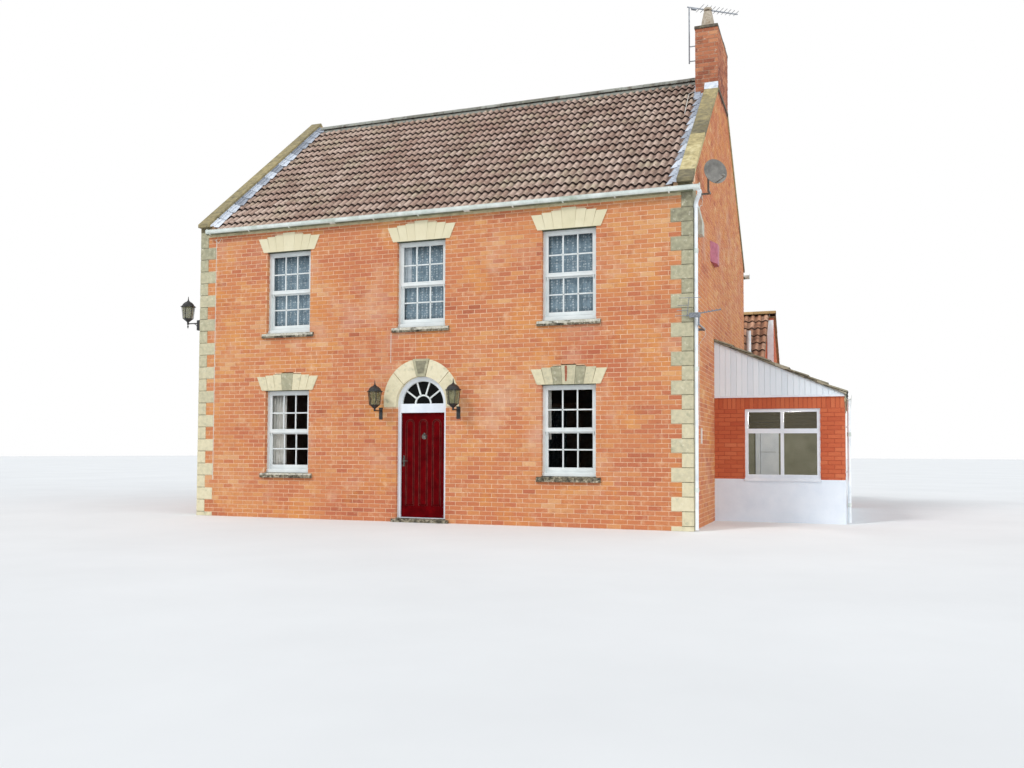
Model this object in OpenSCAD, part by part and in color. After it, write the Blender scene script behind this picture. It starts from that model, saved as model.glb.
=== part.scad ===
// Two-storey detached brick house with stone quoins, arched front door and side extension.
// Millimetres. X runs along the front (right is plus), the front faces minus Y, Z is up.
// The origin lies on the ground under the middle of the main block.

/* [Main block] */
// Width of the front between the outer faces of the gable walls
house_w = 9530; // [8400:10:11500]
// Depth of the main block between the outer faces of front and rear walls
house_d = 7790; // [6800:10:8800]
// Thickness of the outside walls
wall_t = 300; // [215:5:360]
// Height of one brick course with its joint
course_h = 77.5; // [70:0.5:85]
// Top of the ground floor slab
floor_z = 70; // [60:5:120]
// Top of the upper floor
upper_floor_z = 2710; // [2500:10:2900]
// Thickness of the upper floor
upper_floor_t = 220; // [150:10:300]

/* [Roof] */
// Height of the tile plane at the ridge
ridge_z = 8819; // [8200:1:9500]
// Fall of the roof for each millimetre away from the ridge
roof_fall = 0.836; // [0.75:0.001:0.9]
// Thickness of the roof measured upright
roof_t = 160; // [140:5:200]
// Height of the coping's top above the tile plane, measured upright
coping_up = 165; // [150:5:190]
// Thickness of the coping stones measured upright
coping_t = 100; // [80:5:120]
// Distance of the coping's foot in front of the wall
coping_foot = 95; // [70:5:120]

/* [Chimney] */
// Width of the stack along the front
stack_w = 430; // [380:5:560]
// Depth of the stack along the gable
stack_d = 1555; // [1100:5:1700]
// Front face of the stack measured from the ridge
stack_front = 752; // [600:2:900]
// Height of the brick stack above the ridge
stack_rise = 706; // [500:2:1000]
// Height of the chimney pot
pot_h = 185; // [150:5:450]

/* [Windows] */
// Width of the sash windows
win_w = 950; // [800:10:1100]
// Height of the sash windows
win_h = 1538; // [1400:2:1600]
// Distance of the upper window heads below the fascia
up_head_drop = 387; // [370:1:480]
// Distance of the lower window heads below the upper floor
low_head_drop = 330; // [300:2:420]
// Middle of the left window column
win_x_left = -2766; // [-3000:2:-2500]
// Middle of the middle window
win_x_mid = -23; // [-60:1:20]
// Middle of the right window column
win_x_right = 2710; // [2500:2:3000]
// Depth of the window reveal
reveal = 75; // [60:5:100]

/* [Front door] */
// Middle of the doorway
door_x = 0; // [-40:2:40]
// Width of the doorway
door_w = 966; // [940:2:1020]
// Height where the arch springs
spring_z = 2035; // [1990:5:2080]
// Height of the upright part above the springing
stilt = 60; // [40:5:80]
// Width of the arch stones
arch_t = 245; // [200:5:280]

/* [Side extension] */
// Width of the extension
ext_w = 2265; // [2100:5:2600]
// Front face of the extension in Y
ext_front = -1343; // [-1700:1:-900]
// Top of the extension roof against the gable
ext_top = 3382; // [3300:2:3400]
// Top of the extension roof at its outer edge
ext_low = 2377; // [2360:1:2420]
// Width of the extension window
ext_win_w = 1312; // [1100:2:1400]
// Height of the extension window
ext_win_h = 1250; // [1150:5:1300]

/* [Rear wing] */
// Left face of the wing
wing_left = 900; // [700:10:1400]
// Distance of the wing's right face outside the gable wall
wing_out = 392; // [350:2:600]
// Depth of the wing behind the main block
wing_d = 3070; // [2700:10:3400]
// Height of the wing's tile plane at its ridge
wing_ridge_z = 4835; // [4750:5:4950]

/* [Hidden] */
hw = house_w / 2;
hd = house_d / 2;
wi = hw - wall_t;
di = hd - wall_t;
front_y = -hd;
quoin_pitch = 3 * course_h;
joint = 10;
quoin_long = 345;
quoin_short = 172;
quoin_out = 12;

function tile_z(y) = ridge_z - roof_fall * abs(y);

function under_z(y) = tile_z(y) - roof_t;

// Hair's breadth left between sloping faces that would otherwise share rounding errors.
hair = 0.1;
fascia_t = 25;
fascia_low = under_z(hd) - 12;

coping_in = 15;
coping_out = 25;
kneeler_top = tile_z(hd) + 212;
kneeler_low = tile_z(hd) + 22;

quoin_count = ceil((fascia_low - 182) / quoin_pitch);
quoin_base = 82;
top_quoin = (quoin_count - 1) % 2 != 0 ? quoin_long : quoin_short;

lintel_w = win_w + 156;
lintel_deep = 100;
lintel_out = 18;
sill_h = 94;
sill_out = 45;
sill_w = win_w + 160;
up_win_z = fascia_low - up_head_drop - win_h;
low_win_z = upper_floor_z - low_head_drop - win_h;
frame_deep = 90;
frame_y = front_y + reveal;
frame_bar = 42;
rail = 46;
sash_w = win_w - 2 * frame_bar;
sash_h = (win_h - 2 * frame_bar) / 2 + 20;
up_xs = [win_x_left, win_x_mid, win_x_right];
low_xs = [win_x_left, win_x_right];
rear_up_xs = [win_x_left, win_x_mid];
rear_low_xs = [win_x_left, win_x_mid];

door_l = door_x - door_w / 2;
door_r = door_x + door_w / 2;
arch_r = door_w / 2;
arch_z = spring_z + stilt;
arch_out = 20;
arch_deep = 150;
over_l = door_x - arch_r - arch_t - 20;
over_r = door_x + arch_r + arch_t + 20;
jamb = 45;
head_bar = 72;
frame_front = front_y + 60;
door_frame_d = 90;
leaf_gap = 6;
leaf_l = door_l + jamb + leaf_gap;
leaf_r = door_r - jamb - leaf_gap;
leaf_w = leaf_r - leaf_l;
leaf_bottom = floor_z + 16;
transom_z = spring_z - 87;
leaf_top = transom_z - leaf_gap;
leaf_t = 45;
leaf_y = frame_front + door_frame_d - leaf_t;
stop_d = door_frame_d - leaf_t - leaf_gap;
hinge_x = door_r - jamb - leaf_gap / 2;
hinge_y = frame_front + door_frame_d + 8.3;
hinge_zs = [floor_z + 220, floor_z + 900, floor_z + 1580];

stack_r = hw + 12;
stack_l = stack_r - stack_w;
stack_f = -stack_front;
stack_b = stack_f + stack_d;
stack_top = ridge_z + stack_rise;
cap_t = 60;
cap_out = 22;
cap_side = 12;
bed_h = 150;
pot_x = (stack_l + stack_r) / 2;
pot_y = stack_f + 200;
seat_up = coping_up - coping_t;
stack_foot = tile_z(max(stack_front, stack_b)) + seat_up;
band_z = stack_foot + 78;
band_h = 60;

ext_r = hw + ext_w;
ext_back = hd;
ext_fall = (ext_top - ext_low) / ext_w;
ext_roof_t = 80;
ext_wall = 250;
ext_clad_z = 2266;
ext_plinth_z = 775;
ext_win_x = hw + 545;
ext_win_z = 800;
ext_sill_h = 58;
ext_bar = 58;
ext_transom_z = ext_win_z + 812;

function ext_z(x) = ext_top - ext_fall * (x - hw);

wing_r = hw + wing_out;
wing_step = 177;
wing_b = hd + wing_d;
wing_eave_f = hd + 330;
wing_ridge_y = (wing_eave_f + wing_b) / 2;
wing_fall = 0.9;
wing_t = 150;
wing_wall = 250;
wing_link_r = hw - 165;
verge = 60;
wing_win_x = [2000, 3700];

gut_w = 120;
gut_h = 85;
gut_z = tile_z(hd + fascia_t) - 34;
gut_l = -hw + 195;
gut_r = hw + 136;
gut_gap = 1;
gut_y = -hd - fascia_t - gut_gap - gut_w / 2;
ext_gut_x = ext_r + 20 + gut_gap + 50;
ext_gut_z = ext_z(ext_r + 40) - ext_roof_t - 4;

pipe_r = 33;
pipe_x = hw + 50;
pipe_y = -hd + 60;
pipe_brackets = [for (k = [2, 8, 14, 20]) quoin_base + k * quoin_pitch + 90];
vent_r = 52;
vent_x = hw + 102;
vent_y = ext_back + 165;
vent_top = ext_top + 802;

door_arm = 240;
gable_arm = 310;
lantern_low = 70;
lantern_high = 300;
lantern_xs = [door_x - 793, door_x + 720];
door_lantern_z = spring_z - 35;
gable_lantern_z = 3765;
dish_x = hw + 265;
dish_y = -3250;
dish_z = 5910;
dish_turn = [0, 86.5, -47];
mast_x = 4205;
mast_y = -600;
mast_r = 13;
mast_low = stack_top - 600;
mast_top = stack_top + 525;
boom_turn = 35.4;
corner_y = -hd - 72;
boom_z = 3430;
boom_l = -77;
boom_rise = 0.134;

function wing_z(y) = wing_ridge_z - wing_fall * abs(y - wing_ridge_y);

// A box given by its low and high corners.
module span(x0, x1, y0, y1, z0, z1) {
  translate([x0, y0, z0])
    cube([x1 - x0, y1 - y0, z1 - z0]);
}

// A YZ outline drawn out along X from x0 to x1.
module along_x(x0, x1) {
  translate([x0, 0, 0])
    rotate([90, 0, 90])
      linear_extrude(x1 - x0)
        children();
}

// An XZ outline drawn out along Y from y0 to y1.
module along_y(y0, y1) {
  translate([0, y1, 0])
    rotate([90, 0, 0])
      linear_extrude(y1 - y0)
        children();
}

// Outline of one stepped flat arch over a window, its foot at z = 0.
module lintel_outline() {
  w = lintel_w / 2;
  polygon([
    [-w, 0], [w, 0], [w + 114, 265], [w - 75, 265], [w - 75, 292], [w - 245, 292],
    [w - 245, 314], [w - 422, 314], [w - 422, 354], [422 - w, 354], [422 - w, 314],
    [245 - w, 314], [245 - w, 292], [75 - w, 292], [75 - w, 265], [-w - 114, 265]
  ]);
}

// Front of the arch ring between two angles, with its middle at the origin.
module ring_outline(r0, r1, a0, a1) {
  intersection() {
    difference() {
      circle(r = r1, $fn = 96);
      circle(r = r0, $fn = 96);
    }
    polygon([
      [0, 0], [2 * r1 * cos(a0), 2 * r1 * sin(a0)],
      [2 * r1 * cos((a0 + a1) / 2), 2 * r1 * sin((a0 + a1) / 2)],
      [2 * r1 * cos(a1), 2 * r1 * sin(a1)]
    ]);
  }
}

// Outline of the doorway from the floor to the crown of the arch.
module doorway_outline(r, foot) {
  translate([door_x, 0])
    union() {
      translate([-r, foot])
        square([2 * r, arch_z - foot]);
      translate([0, arch_z])
        circle(r = r, $fn = 96);
    }
}

// The space of the arch stones inside the wall.
module arch_space() {
  along_y(front_y - 50, front_y + arch_deep)
    translate([door_x, 0])
      union() {
        translate([-arch_r - arch_t, spring_z])
          square([2 * (arch_r + arch_t), stilt]);
        translate([0, arch_z])
          intersection() {
            circle(r = arch_r + arch_t, $fn = 96);
            translate([-1000, 0])
              square([2000, 1000]);
          }
        key_outline(0);
      }
}

// Keystone over the crown of the doorway.
module key_outline(grow) {
  z0 = arch_z + sqrt(arch_r * arch_r - 95 * 95);
  polygon([
    [-95 - grow, z0], [95 + grow, z0],
    [178 + grow, arch_z + arch_r + arch_t + 62 + grow],
    [-178 - grow, arch_z + arch_r + arch_t + 62 + grow]
  ]);
}

// Place of each quoin stone of the corner at the side s (minus one left, plus one right).
module quoin_blocks(s, out) {
  for (k = [-1:quoin_count - 1]) {
    z0 = k < 0 ? 0 : quoin_base + k * quoin_pitch;
    z1 = k == quoin_count - 1 ? kneeler_low - joint : quoin_base + (k + 1) * quoin_pitch - joint;
    long = (k % 2) != 0;
    wf = long ? quoin_long : quoin_short;
    ws = long ? quoin_short : quoin_long;
    translate([0, 0, z0])
      linear_extrude(z1 - z0)
        polygon([
          [s * (hw - wf), front_y - out], [s * (hw + out - 10), front_y - out],
          [s * (hw + out), front_y - out + 10], [s * (hw + out), front_y + ws],
          [s * (hw - wf), front_y + ws]
        ]);
  }
}

// Openings for the sash windows of one wall.
module window_holes(xs, z, y0, y1) {
  for (x = xs)
    span(x - win_w / 2, x + win_w / 2, y0, y1, z, z + win_h);
}

// Seats of the front lintels and sills in the wall.
module stone_seats() {
  for (x = up_xs) {
    translate([x, 0, up_win_z + win_h])
      along_y(front_y - 50, front_y + lintel_deep)
        lintel_outline();
    span(x - sill_w / 2, x + sill_w / 2, front_y - 50, frame_y, up_win_z - sill_h, up_win_z);
  }
  for (x = low_xs) {
    translate([x, 0, low_win_z + win_h])
      along_y(front_y - 50, front_y + lintel_deep)
        lintel_outline();
    span(x - sill_w / 2, x + sill_w / 2, front_y - 50, frame_y, low_win_z - sill_h, low_win_z);
  }
}

// Side outline of the front wall with its sloping top.
module front_wall_profile() {
  polygon([
    [-hd, 0], [-di, 0], [-di, under_z(di) - hair], [-hd, under_z(hd) - hair]
  ]);
}

module front_wall_cuts() {
  window_holes(up_xs, up_win_z, front_y - 50, -di + 50);
  window_holes(low_xs, low_win_z, front_y - 50, -di + 50);
  stone_seats();
  quoin_blocks(-1, quoin_out);
  quoin_blocks(1, quoin_out);
}

module front_wall_left() {
  color("#b3623f")
    difference() {
      along_x(-wi, door_l)
        front_wall_profile();
      span(over_l, door_l + 1, front_y - 50, -di + 50, spring_z, ridge_z);
      front_wall_cuts();
    }
}

module front_wall_right() {
  color("#b3623f")
    difference() {
      along_x(door_r, wi)
        front_wall_profile();
      span(door_r - 1, over_r, front_y - 50, -di + 50, spring_z, ridge_z);
      front_wall_cuts();
    }
}

module front_wall_over_door() {
  color("#b3623f")
    difference() {
      along_x(over_l, over_r)
        front_wall_profile();
      span(over_l - 1, over_r + 1, front_y - 50, -di + 50, -1, spring_z);
      along_y(front_y - 50, -di + 50)
        doorway_outline(arch_r, 0);
      arch_space();
      front_wall_cuts();
    }
}

module rear_wall() {
  color("#b3623f")
    difference() {
      along_x(-wi, wi)
        mirror([1, 0])
          front_wall_profile();
      window_holes(rear_up_xs, up_win_z, di - 50, hd + 50);
      window_holes(rear_low_xs, low_win_z, di - 50, hd + 50);
    }
}

// Outline of a gable wall up to the seat of the copings.
module gable_profile() {
  polygon([
    [-hd, 0], [hd, 0], [hd, tile_z(hd) + seat_up], [0, ridge_z + seat_up],
    [-hd, tile_z(hd) + seat_up]
  ]);
}

module left_gable_wall() {
  color("#b3623f")
    difference() {
      along_x(-hw, -wi)
        gable_profile();
      quoin_blocks(-1, quoin_out);
    }
}

module right_gable_wall() {
  color("#b3623f")
    difference() {
      along_x(wi, hw)
        gable_profile();
      quoin_blocks(1, quoin_out);
      span(wi - 1, hw + 1, stack_f, stack_b, stack_foot, ridge_z + 500);
    }
}

module quoins() {
  color("#c9c0a2")
    union() {
      quoin_blocks(-1, quoin_out);
      quoin_blocks(1, quoin_out);
    }
}

module window_lintels() {
  color("#c9bd97")
    union() {
      for (x = up_xs)
        translate([x, 0, up_win_z + win_h])
          along_y(front_y - lintel_out, front_y + lintel_deep)
            lintel_outline();
      for (x = low_xs)
        translate([x, 0, low_win_z + win_h])
          along_y(front_y - lintel_out, front_y + lintel_deep)
            lintel_outline();
    }
}

// One stone sill with a weathered top.
module sill(x, z) {
  along_x(x - sill_w / 2, x + sill_w / 2)
    polygon([
      [front_y - sill_out, z - sill_h], [front_y - sill_out, z - 22],
      [front_y, z - 8], [frame_y, z], [frame_y, z - sill_h]
    ]);
}

module window_sills() {
  color("#8f8a78")
    union() {
      for (x = up_xs)
        sill(x, up_win_z);
      for (x = low_xs)
        sill(x, low_win_z);
      for (x = rear_up_xs)
        rotate([0, 0, 180])
          rear_sill(-x, up_win_z);
      for (x = rear_low_xs)
        rotate([0, 0, 180])
          rear_sill(-x, low_win_z);
      for (x = wing_win_x)
        translate([0, wing_d, 0])
          rotate([0, 0, 180])
            rear_sill(-x, low_win_z);
    }
}

// Sill of a rear window, set against the wall face.
module rear_sill(x, z) {
  along_x(x - sill_w / 2, x + sill_w / 2)
    polygon([
      [front_y - sill_out, z - sill_h], [front_y - sill_out, z - 22],
      [front_y, z - 8], [front_y, z - sill_h]
    ]);
}

// A rectangular ring in the XZ plane.
module ring_box(w, h, t, y0, y1) {
  along_y(y0, y1)
    difference() {
      square([w, h]);
      translate([t, t])
        square([w - 2 * t, h - 2 * t]);
    }
}

// One sash window, its low outer corner at the origin and its face at y = 0.
module sash_window() {
  ring_box(win_w, win_h, frame_bar, 0, frame_deep);
  translate([frame_bar, 0, win_h - frame_bar - sash_h])
    ring_box(sash_w, sash_h, rail, 12, 42);
  translate([frame_bar, 0, frame_bar])
    ring_box(sash_w, sash_h, rail, 42, 72);
}

module sash_glass() {
  translate([frame_bar + rail, 24, win_h - frame_bar - sash_h + rail])
    cube([sash_w - 2 * rail, 6, sash_h - 2 * rail]);
  translate([frame_bar + rail, 54, frame_bar + rail])
    cube([sash_w - 2 * rail, 6, sash_h - 2 * rail]);
}

module place_windows(xs, z) {
  for (x = xs)
    translate([x - win_w / 2, frame_y, z])
      children();
}

module place_rear(xs, z) {
  for (x = xs)
    translate([x + win_w / 2, -frame_y, z])
      rotate([0, 0, 180])
        children();
}

module upper_window_frames() {
  color("#f4f5f3")
    union() {
      place_windows(up_xs, up_win_z)
        sash_window();
      place_rear(rear_up_xs, up_win_z)
        sash_window();
    }
}

module lower_window_frames() {
  color("#f4f5f3")
    union() {
      place_windows(low_xs, low_win_z)
        sash_window();
      place_rear(rear_low_xs, low_win_z)
        sash_window();
      translate([0, wing_d, 0])
        place_rear(wing_win_x, low_win_z)
          sash_window();
    }
}

module upper_window_glass() {
  color("#5d6b78")
    union() {
      place_windows(up_xs, up_win_z)
        sash_glass();
      place_rear(rear_up_xs, up_win_z)
        sash_glass();
    }
}

module lower_window_glass() {
  color("#3a4148")
    union() {
      place_windows(low_xs, low_win_z)
        sash_glass();
      place_rear(rear_low_xs, low_win_z)
        sash_glass();
      translate([0, wing_d, 0])
        place_rear(wing_win_x, low_win_z)
          sash_glass();
    }
}

// Stones of the door arch: two springers, two haunches and the keystone.
module door_arch() {
  color("#c9bd97")
    translate([door_x, 0, 0])
      union() {
        for (s = [-1, 1])
          scale([s, 1, 1])
            along_y(front_y - arch_out, front_y + arch_deep)
              union() {
                translate([arch_r, spring_z])
                  square([arch_t, stilt]);
                translate([0, arch_z])
                  ring_outline(arch_r, arch_r + arch_t, 0, 44.5);
              }
        for (s = [-1, 1])
          scale([s, 1, 1])
            along_y(front_y - arch_out, front_y + arch_deep)
              difference() {
                translate([0, arch_z])
                  ring_outline(arch_r, arch_r + arch_t, 45, 90);
                key_outline(4);
              }
        along_y(front_y - arch_out - 14, front_y + arch_deep)
          difference() {
            key_outline(0);
            translate([0, arch_z])
              circle(r = arch_r, $fn = 96);
          }
      }
}

// Outline of the half-round light over the transom.
module fanlight_outline() {
  translate([door_x, arch_z])
    intersection() {
      circle(r = arch_r - head_bar, $fn = 96);
      translate([-arch_r, 0])
        square([door_w, arch_r]);
    }
}

// Door frame with jambs, transom, threshold and the arched head.
module door_frame() {
  y0 = frame_front;
  y1 = frame_front + door_frame_d;
  color("#eef0f2")
    union() {
      along_y(y0, y1)
        difference() {
          doorway_outline(arch_r, floor_z);
          translate([door_l + jamb, floor_z - 1])
            square([door_w - 2 * jamb, transom_z - floor_z + 1]);
          fanlight_outline();
        }
      span(door_l + jamb, door_r - jamb, y0, y1, floor_z, floor_z + 10);
      span(door_l + jamb, door_l + jamb + 14, y0, y0 + stop_d, floor_z + 10, transom_z);
      span(door_r - jamb - 14, door_r - jamb, y0, y0 + stop_d, floor_z + 10, transom_z);
      span(door_l + jamb, door_r - jamb, y0, y0 + stop_d, transom_z - 12, transom_z);
    }
}

module fanlight_glass() {
  color("#2b3036")
    along_y(frame_front + 45, frame_front + 51)
      fanlight_outline();
}

// Outline of one tall door panel with an arched head, its foot at the origin.
module panel_outline(w, h) {
  square([w, h - w / 2]);
  translate([w / 2, h - w / 2])
    circle(r = w / 2, $fn = 48);
}

module front_door() {
  stile = 95;
  pw = (leaf_w - 4 * stile * 0.8 - 40) / 3;
  gap = (leaf_w - 3 * pw) / 4;
  color("#5a1214")
    difference() {
      span(leaf_l, leaf_r, leaf_y, leaf_y + leaf_t, leaf_bottom, leaf_top);
      for (i = [0:2])
        translate([leaf_l + gap + i * (pw + gap), 0, leaf_bottom + 200])
          along_y(leaf_y - 1, leaf_y + 10)
            difference() {
              panel_outline(pw, leaf_top - leaf_bottom - 320);
              translate([28, 28])
                panel_outline(pw - 56, leaf_top - leaf_bottom - 320 - 56);
            }
    }
}

// Halves of the three hinges that turn with the door.
module door_hinges() {
  color("#b9a26a")
    union() {
      for (z = hinge_zs) {
        span(hinge_x - 45, hinge_x - 9, hinge_y - 8.3, hinge_y - 5.3, z, z + 100);
        span(hinge_x - 9, hinge_x - 3, hinge_y - 8.3, hinge_y - 3, z + 34, z + 66);
        translate([hinge_x, hinge_y, z + 34])
          cylinder(h = 32, r = 8, $fn = 32);
      }
    }
}

// Halves of the three hinges that stay on the frame.
module frame_hinges() {
  color("#b9a26a")
    union() {
      for (z = hinge_zs) {
        span(hinge_x + 9, hinge_x + 45, hinge_y - 8.3, hinge_y - 5.3, z, z + 100);
        for (k = [0, 1]) {
          translate([hinge_x, hinge_y, z + k * 66.4])
            cylinder(h = 33.6, r = 8, $fn = 32);
          span(hinge_x + 3, hinge_x + 9, hinge_y - 8.3, hinge_y - 3, z + k * 66.4,
            z + k * 66.4 + 33.6);
        }
      }
    }
}

module door_knocker() {
  color("#b9a26a")
    translate([door_x + 20, leaf_y, 1558])
      rotate([90, 0, 0])
        difference() {
          union() {
            linear_extrude(12)
              circle(r = 22, $fn = 32);
            translate([0, -45, 0])
              linear_extrude(10)
                circle(r = 48, $fn = 40);
          }
          translate([0, -45, 4])
            linear_extrude(20)
              circle(r = 34, $fn = 40);
        }
}

module door_handle() {
  color("#b9a26a")
    translate([leaf_l + 55, leaf_y, 1080])
      union() {
        translate([-18, -8, -95])
          cube([36, 8, 190]);
        translate([-9, -40, -8])
          cube([18, 32, 16]);
        translate([-9, -52, -8])
          cube([105, 12, 16]);
      }
}

module door_step() {
  color("#8d8a80")
    union() {
      span(door_l, door_r, front_y, -di, 0, floor_z);
      span(door_l - 60, door_r + 60, front_y - 75, front_y, 0, floor_z - 12);
    }
}

module ground_floor() {
  color("#a8a49b")
    union() {
      span(-wi, wi, -di, di, 0, floor_z);
      span(hw, ext_r - ext_wall, ext_front + ext_wall, ext_back - ext_wall, 0, floor_z);
      linear_extrude(floor_z)
        wing_room_plan(hd);
    }
}

module upper_floor() {
  color("#b8a27e")
    span(-wi, wi, -di, di, upper_floor_z - upper_floor_t, upper_floor_z);
}

module main_roof() {
  color("#6e4a3f")
    difference() {
      along_x(-wi, wi)
        polygon([
          [-hd, under_z(hd)], [-hd, tile_z(hd)], [0, ridge_z],
          [hd, tile_z(hd)], [hd, under_z(hd)], [0, under_z(0)]
        ]);
      span(stack_l, hw, stack_f, stack_b, ridge_z - 2500, ridge_z + 500);
    }
}

module ridge_tiles() {
  color("#77695a")
    difference() {
      union() {
        for (s = [-1, 1])
          scale([1, s, 1])
            along_x(-wi + coping_in, wi - coping_in)
              polygon([
                [hair, ridge_z + hair], [hair, ridge_z + 48], [60, ridge_z + 22],
                [130, tile_z(130) + 18], [130, tile_z(130) + hair]
              ]);
      }
      span(stack_l, hw, stack_f, stack_b, ridge_z - 500, ridge_z + 500);
    }
}

function coping_y(z) = (ridge_z + coping_up - z) / roof_fall;

function coping_z(y) = tile_z(y) + coping_up;

// Coping of one slope: the kneeler at its foot and the sloping stones above it.
module coping_profile() {
  f = hd + coping_foot;
  top = coping_y(kneeler_top);
  polygon([
    [f, kneeler_low], [f, kneeler_top], [top, kneeler_top], [top, tile_z(top) + seat_up + hair],
    [hd, tile_z(hd) + seat_up + hair], [hd, kneeler_low]
  ]);
  polygon([
    [top - hair, tile_z(top - hair) + seat_up + hair], [top - hair, coping_z(top - hair)],
    [hair, coping_z(hair)], [hair, tile_z(hair) + seat_up + hair]
  ]);
}

module gable_copings() {
  color("#b5a673")
    for (s = [-1, 1])
      scale([1, s, 1]) {
        along_x(-hw - coping_out, -wi + coping_in)
          coping_profile();
        difference() {
          along_x(wi - coping_in, hw + coping_out)
            coping_profile();
          span(wi - 100, hw + 100, -1, s > 0 ? stack_b : -stack_f, ridge_z - 1500, ridge_z + 900);
        }
      }
}

// Slope strip from one distance off the ridge to another, lying just above the tile plane.
module slope_strip(y0, y1, t) {
  polygon([
    [y0, tile_z(y0) + hair], [y1, tile_z(y1) + hair], [y1, tile_z(y1) + t], [y0, tile_z(y0) + t]
  ]);
}

// Strips of lead beside the copings, and the lead floor of the valley behind the main block.
module roof_flashings() {
  w = 170;
  color("#c9cdd0")
    union() {
      for (s = [-1, 1])
        scale([1, s, 1])
          along_x(-wi + coping_in, -wi + w)
            slope_strip(-hd, -135, 6);
      along_x(wi - w, wi - coping_in)
        slope_strip(-hd, stack_f - 3, 6);
      along_x(wi - w, wi - coping_in)
        slope_strip(stack_b + 3, hd, 6);
      along_x(wi - coping_in, hw + 20)
        polygon([
          [stack_f - 75, coping_z(stack_f - 75) + hair], [stack_f, coping_z(stack_f) + hair],
          [stack_f, coping_z(stack_f) + 55], [stack_f - 75, coping_z(stack_f - 75) + 6]
        ]);
      span(wing_left, wing_link_r, hd, wing_eave_f, wing_z(wing_eave_f) - wing_t,
        wing_z(wing_eave_f) - wing_t + 45);
    }
}

module chimney_stack() {
  color("#b3623f")
    union() {
      span(stack_l, stack_r, stack_f, stack_b, band_z + band_h, stack_top);
      span(stack_l, hw, stack_f, stack_b, stack_foot, band_z + band_h);
      span(stack_l, wi, stack_f, stack_b, stack_foot - roof_t - seat_up - 60, stack_foot);
    }
}

// Stone band on the gable side of the stack, level with the copings.
module chimney_band() {
  color("#6f675a")
    span(hw, hw + 24, stack_f, stack_b, band_z, band_z + band_h);
}

// Slab on the stack with a sloping bed of mortar round the pot.
module chimney_cap() {
  mid_x = (stack_l + stack_r) / 2;
  top = stack_top + cap_t;
  color("#77706a")
    union() {
      span(stack_l - cap_out, stack_r + cap_side, stack_f - cap_out, stack_b + cap_out,
        stack_top, top);
      hull() {
        span(stack_l + 15, stack_r - 15, stack_f + 15, stack_b - 15, top, top + 20);
        span(mid_x - 135, mid_x + 135, stack_f + 60, stack_b - 420, top, top + bed_h);
      }
    }
}

// Clay pot with a raised cowl on four legs.
module chimney_pot() {
  color("#c9b08c")
    translate([pot_x, pot_y, stack_top + cap_t + bed_h])
      union() {
        difference() {
          cylinder(h = pot_h, r1 = 117, r2 = 80, $fn = 48);
          translate([0, 0, -1])
            cylinder(h = pot_h + 2, r = 58, $fn = 48);
        }
        for (a = [45:90:315])
          rotate([0, 0, a])
            translate([63, -6, pot_h - 12])
              cube([12, 12, 60]);
        translate([0, 0, pot_h + 40])
          cylinder(h = 35, r = 78, $fn = 48);
      }
}

module fascia_boards() {
  top = tile_z(hd + fascia_t) - 6;
  color("#d9cfb4")
    union() {
      span(-hw + top_quoin + 1, hw - top_quoin - 1, -hd - fascia_t, -hd, fascia_low, top);
      span(-hw, hw, hd, hd + fascia_t, fascia_low, top);
      span(ext_r, ext_r + 20, ext_front, ext_back, ext_z(ext_r) - ext_roof_t - 130,
        ext_z(ext_r + 20) - ext_roof_t - 1);
    }
}

// Outline of a half-round gutter with upright lips, its foot at z = 0 and its middle at y = 0.
module gutter_outline(w, h) {
  r = w / 2;
  difference() {
    union() {
      translate([0, r])
        circle(r = r, $fn = 48);
      translate([-r, r])
        square([w, h - r]);
    }
    translate([0, r])
      circle(r = r - 4, $fn = 48);
    translate([-r + 4, r])
      square([w - 8, h]);
  }
}

// Brackets that hold one gutter on its fascia board.
module gutter_brackets() {
  for (x = [-wi + 200:1000:wi])
    span(x, x + 30, -hd - fascia_t - gut_gap - 6, -hd - fascia_t, gut_z - 40, gut_z - 12);
}

// One eaves gutter with closed ends, in front of the main block.
module eaves_gutter() {
  gutter_brackets();
  along_x(gut_l, gut_r)
    translate([gut_y, gut_z - gut_h])
      gutter_outline(gut_w, gut_h);
  for (x = [gut_l, gut_r - 5])
    along_x(x, x + 5)
      translate([gut_y, gut_z - gut_h])
        union() {
          translate([0, gut_w / 2])
            circle(r = gut_w / 2, $fn = 48);
          translate([-gut_w / 2, gut_w / 2])
            square([gut_w, gut_h - gut_w / 2]);
        }
}

module gutters() {
  color("#eef0ee")
    union() {
      eaves_gutter();
      mirror([0, 1, 0])
        eaves_gutter();
      along_y(ext_front - 40, ext_back + 20)
        translate([ext_gut_x, ext_gut_z - 80])
          gutter_outline(100, 80);
      for (y = [ext_front + 200:1000:ext_back])
        span(ext_r + 20, ext_r + 28, y, y + 30, ext_gut_z - 30, ext_gut_z - 8);
    }
}

// A round downpipe standing upright from z0 to z1.
module upright(x, y, r, z0, z1) {
  translate([x, y, z0])
    cylinder(h = z1 - z0, r = r, $fn = 32);
}

// Sloping neck of a downpipe between two points.
module neck(x0, y0, z0, x1, y1, z1, r) {
  dx = x1 - x0;
  dy = y1 - y0;
  dz = z1 - z0;
  len = sqrt(dx * dx + dy * dy + dz * dz);
  translate([x0, y0, z0])
    rotate([0, acos(dz / len), atan2(dy, dx)])
      cylinder(h = len, r = r, $fn = 12);
}

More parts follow.
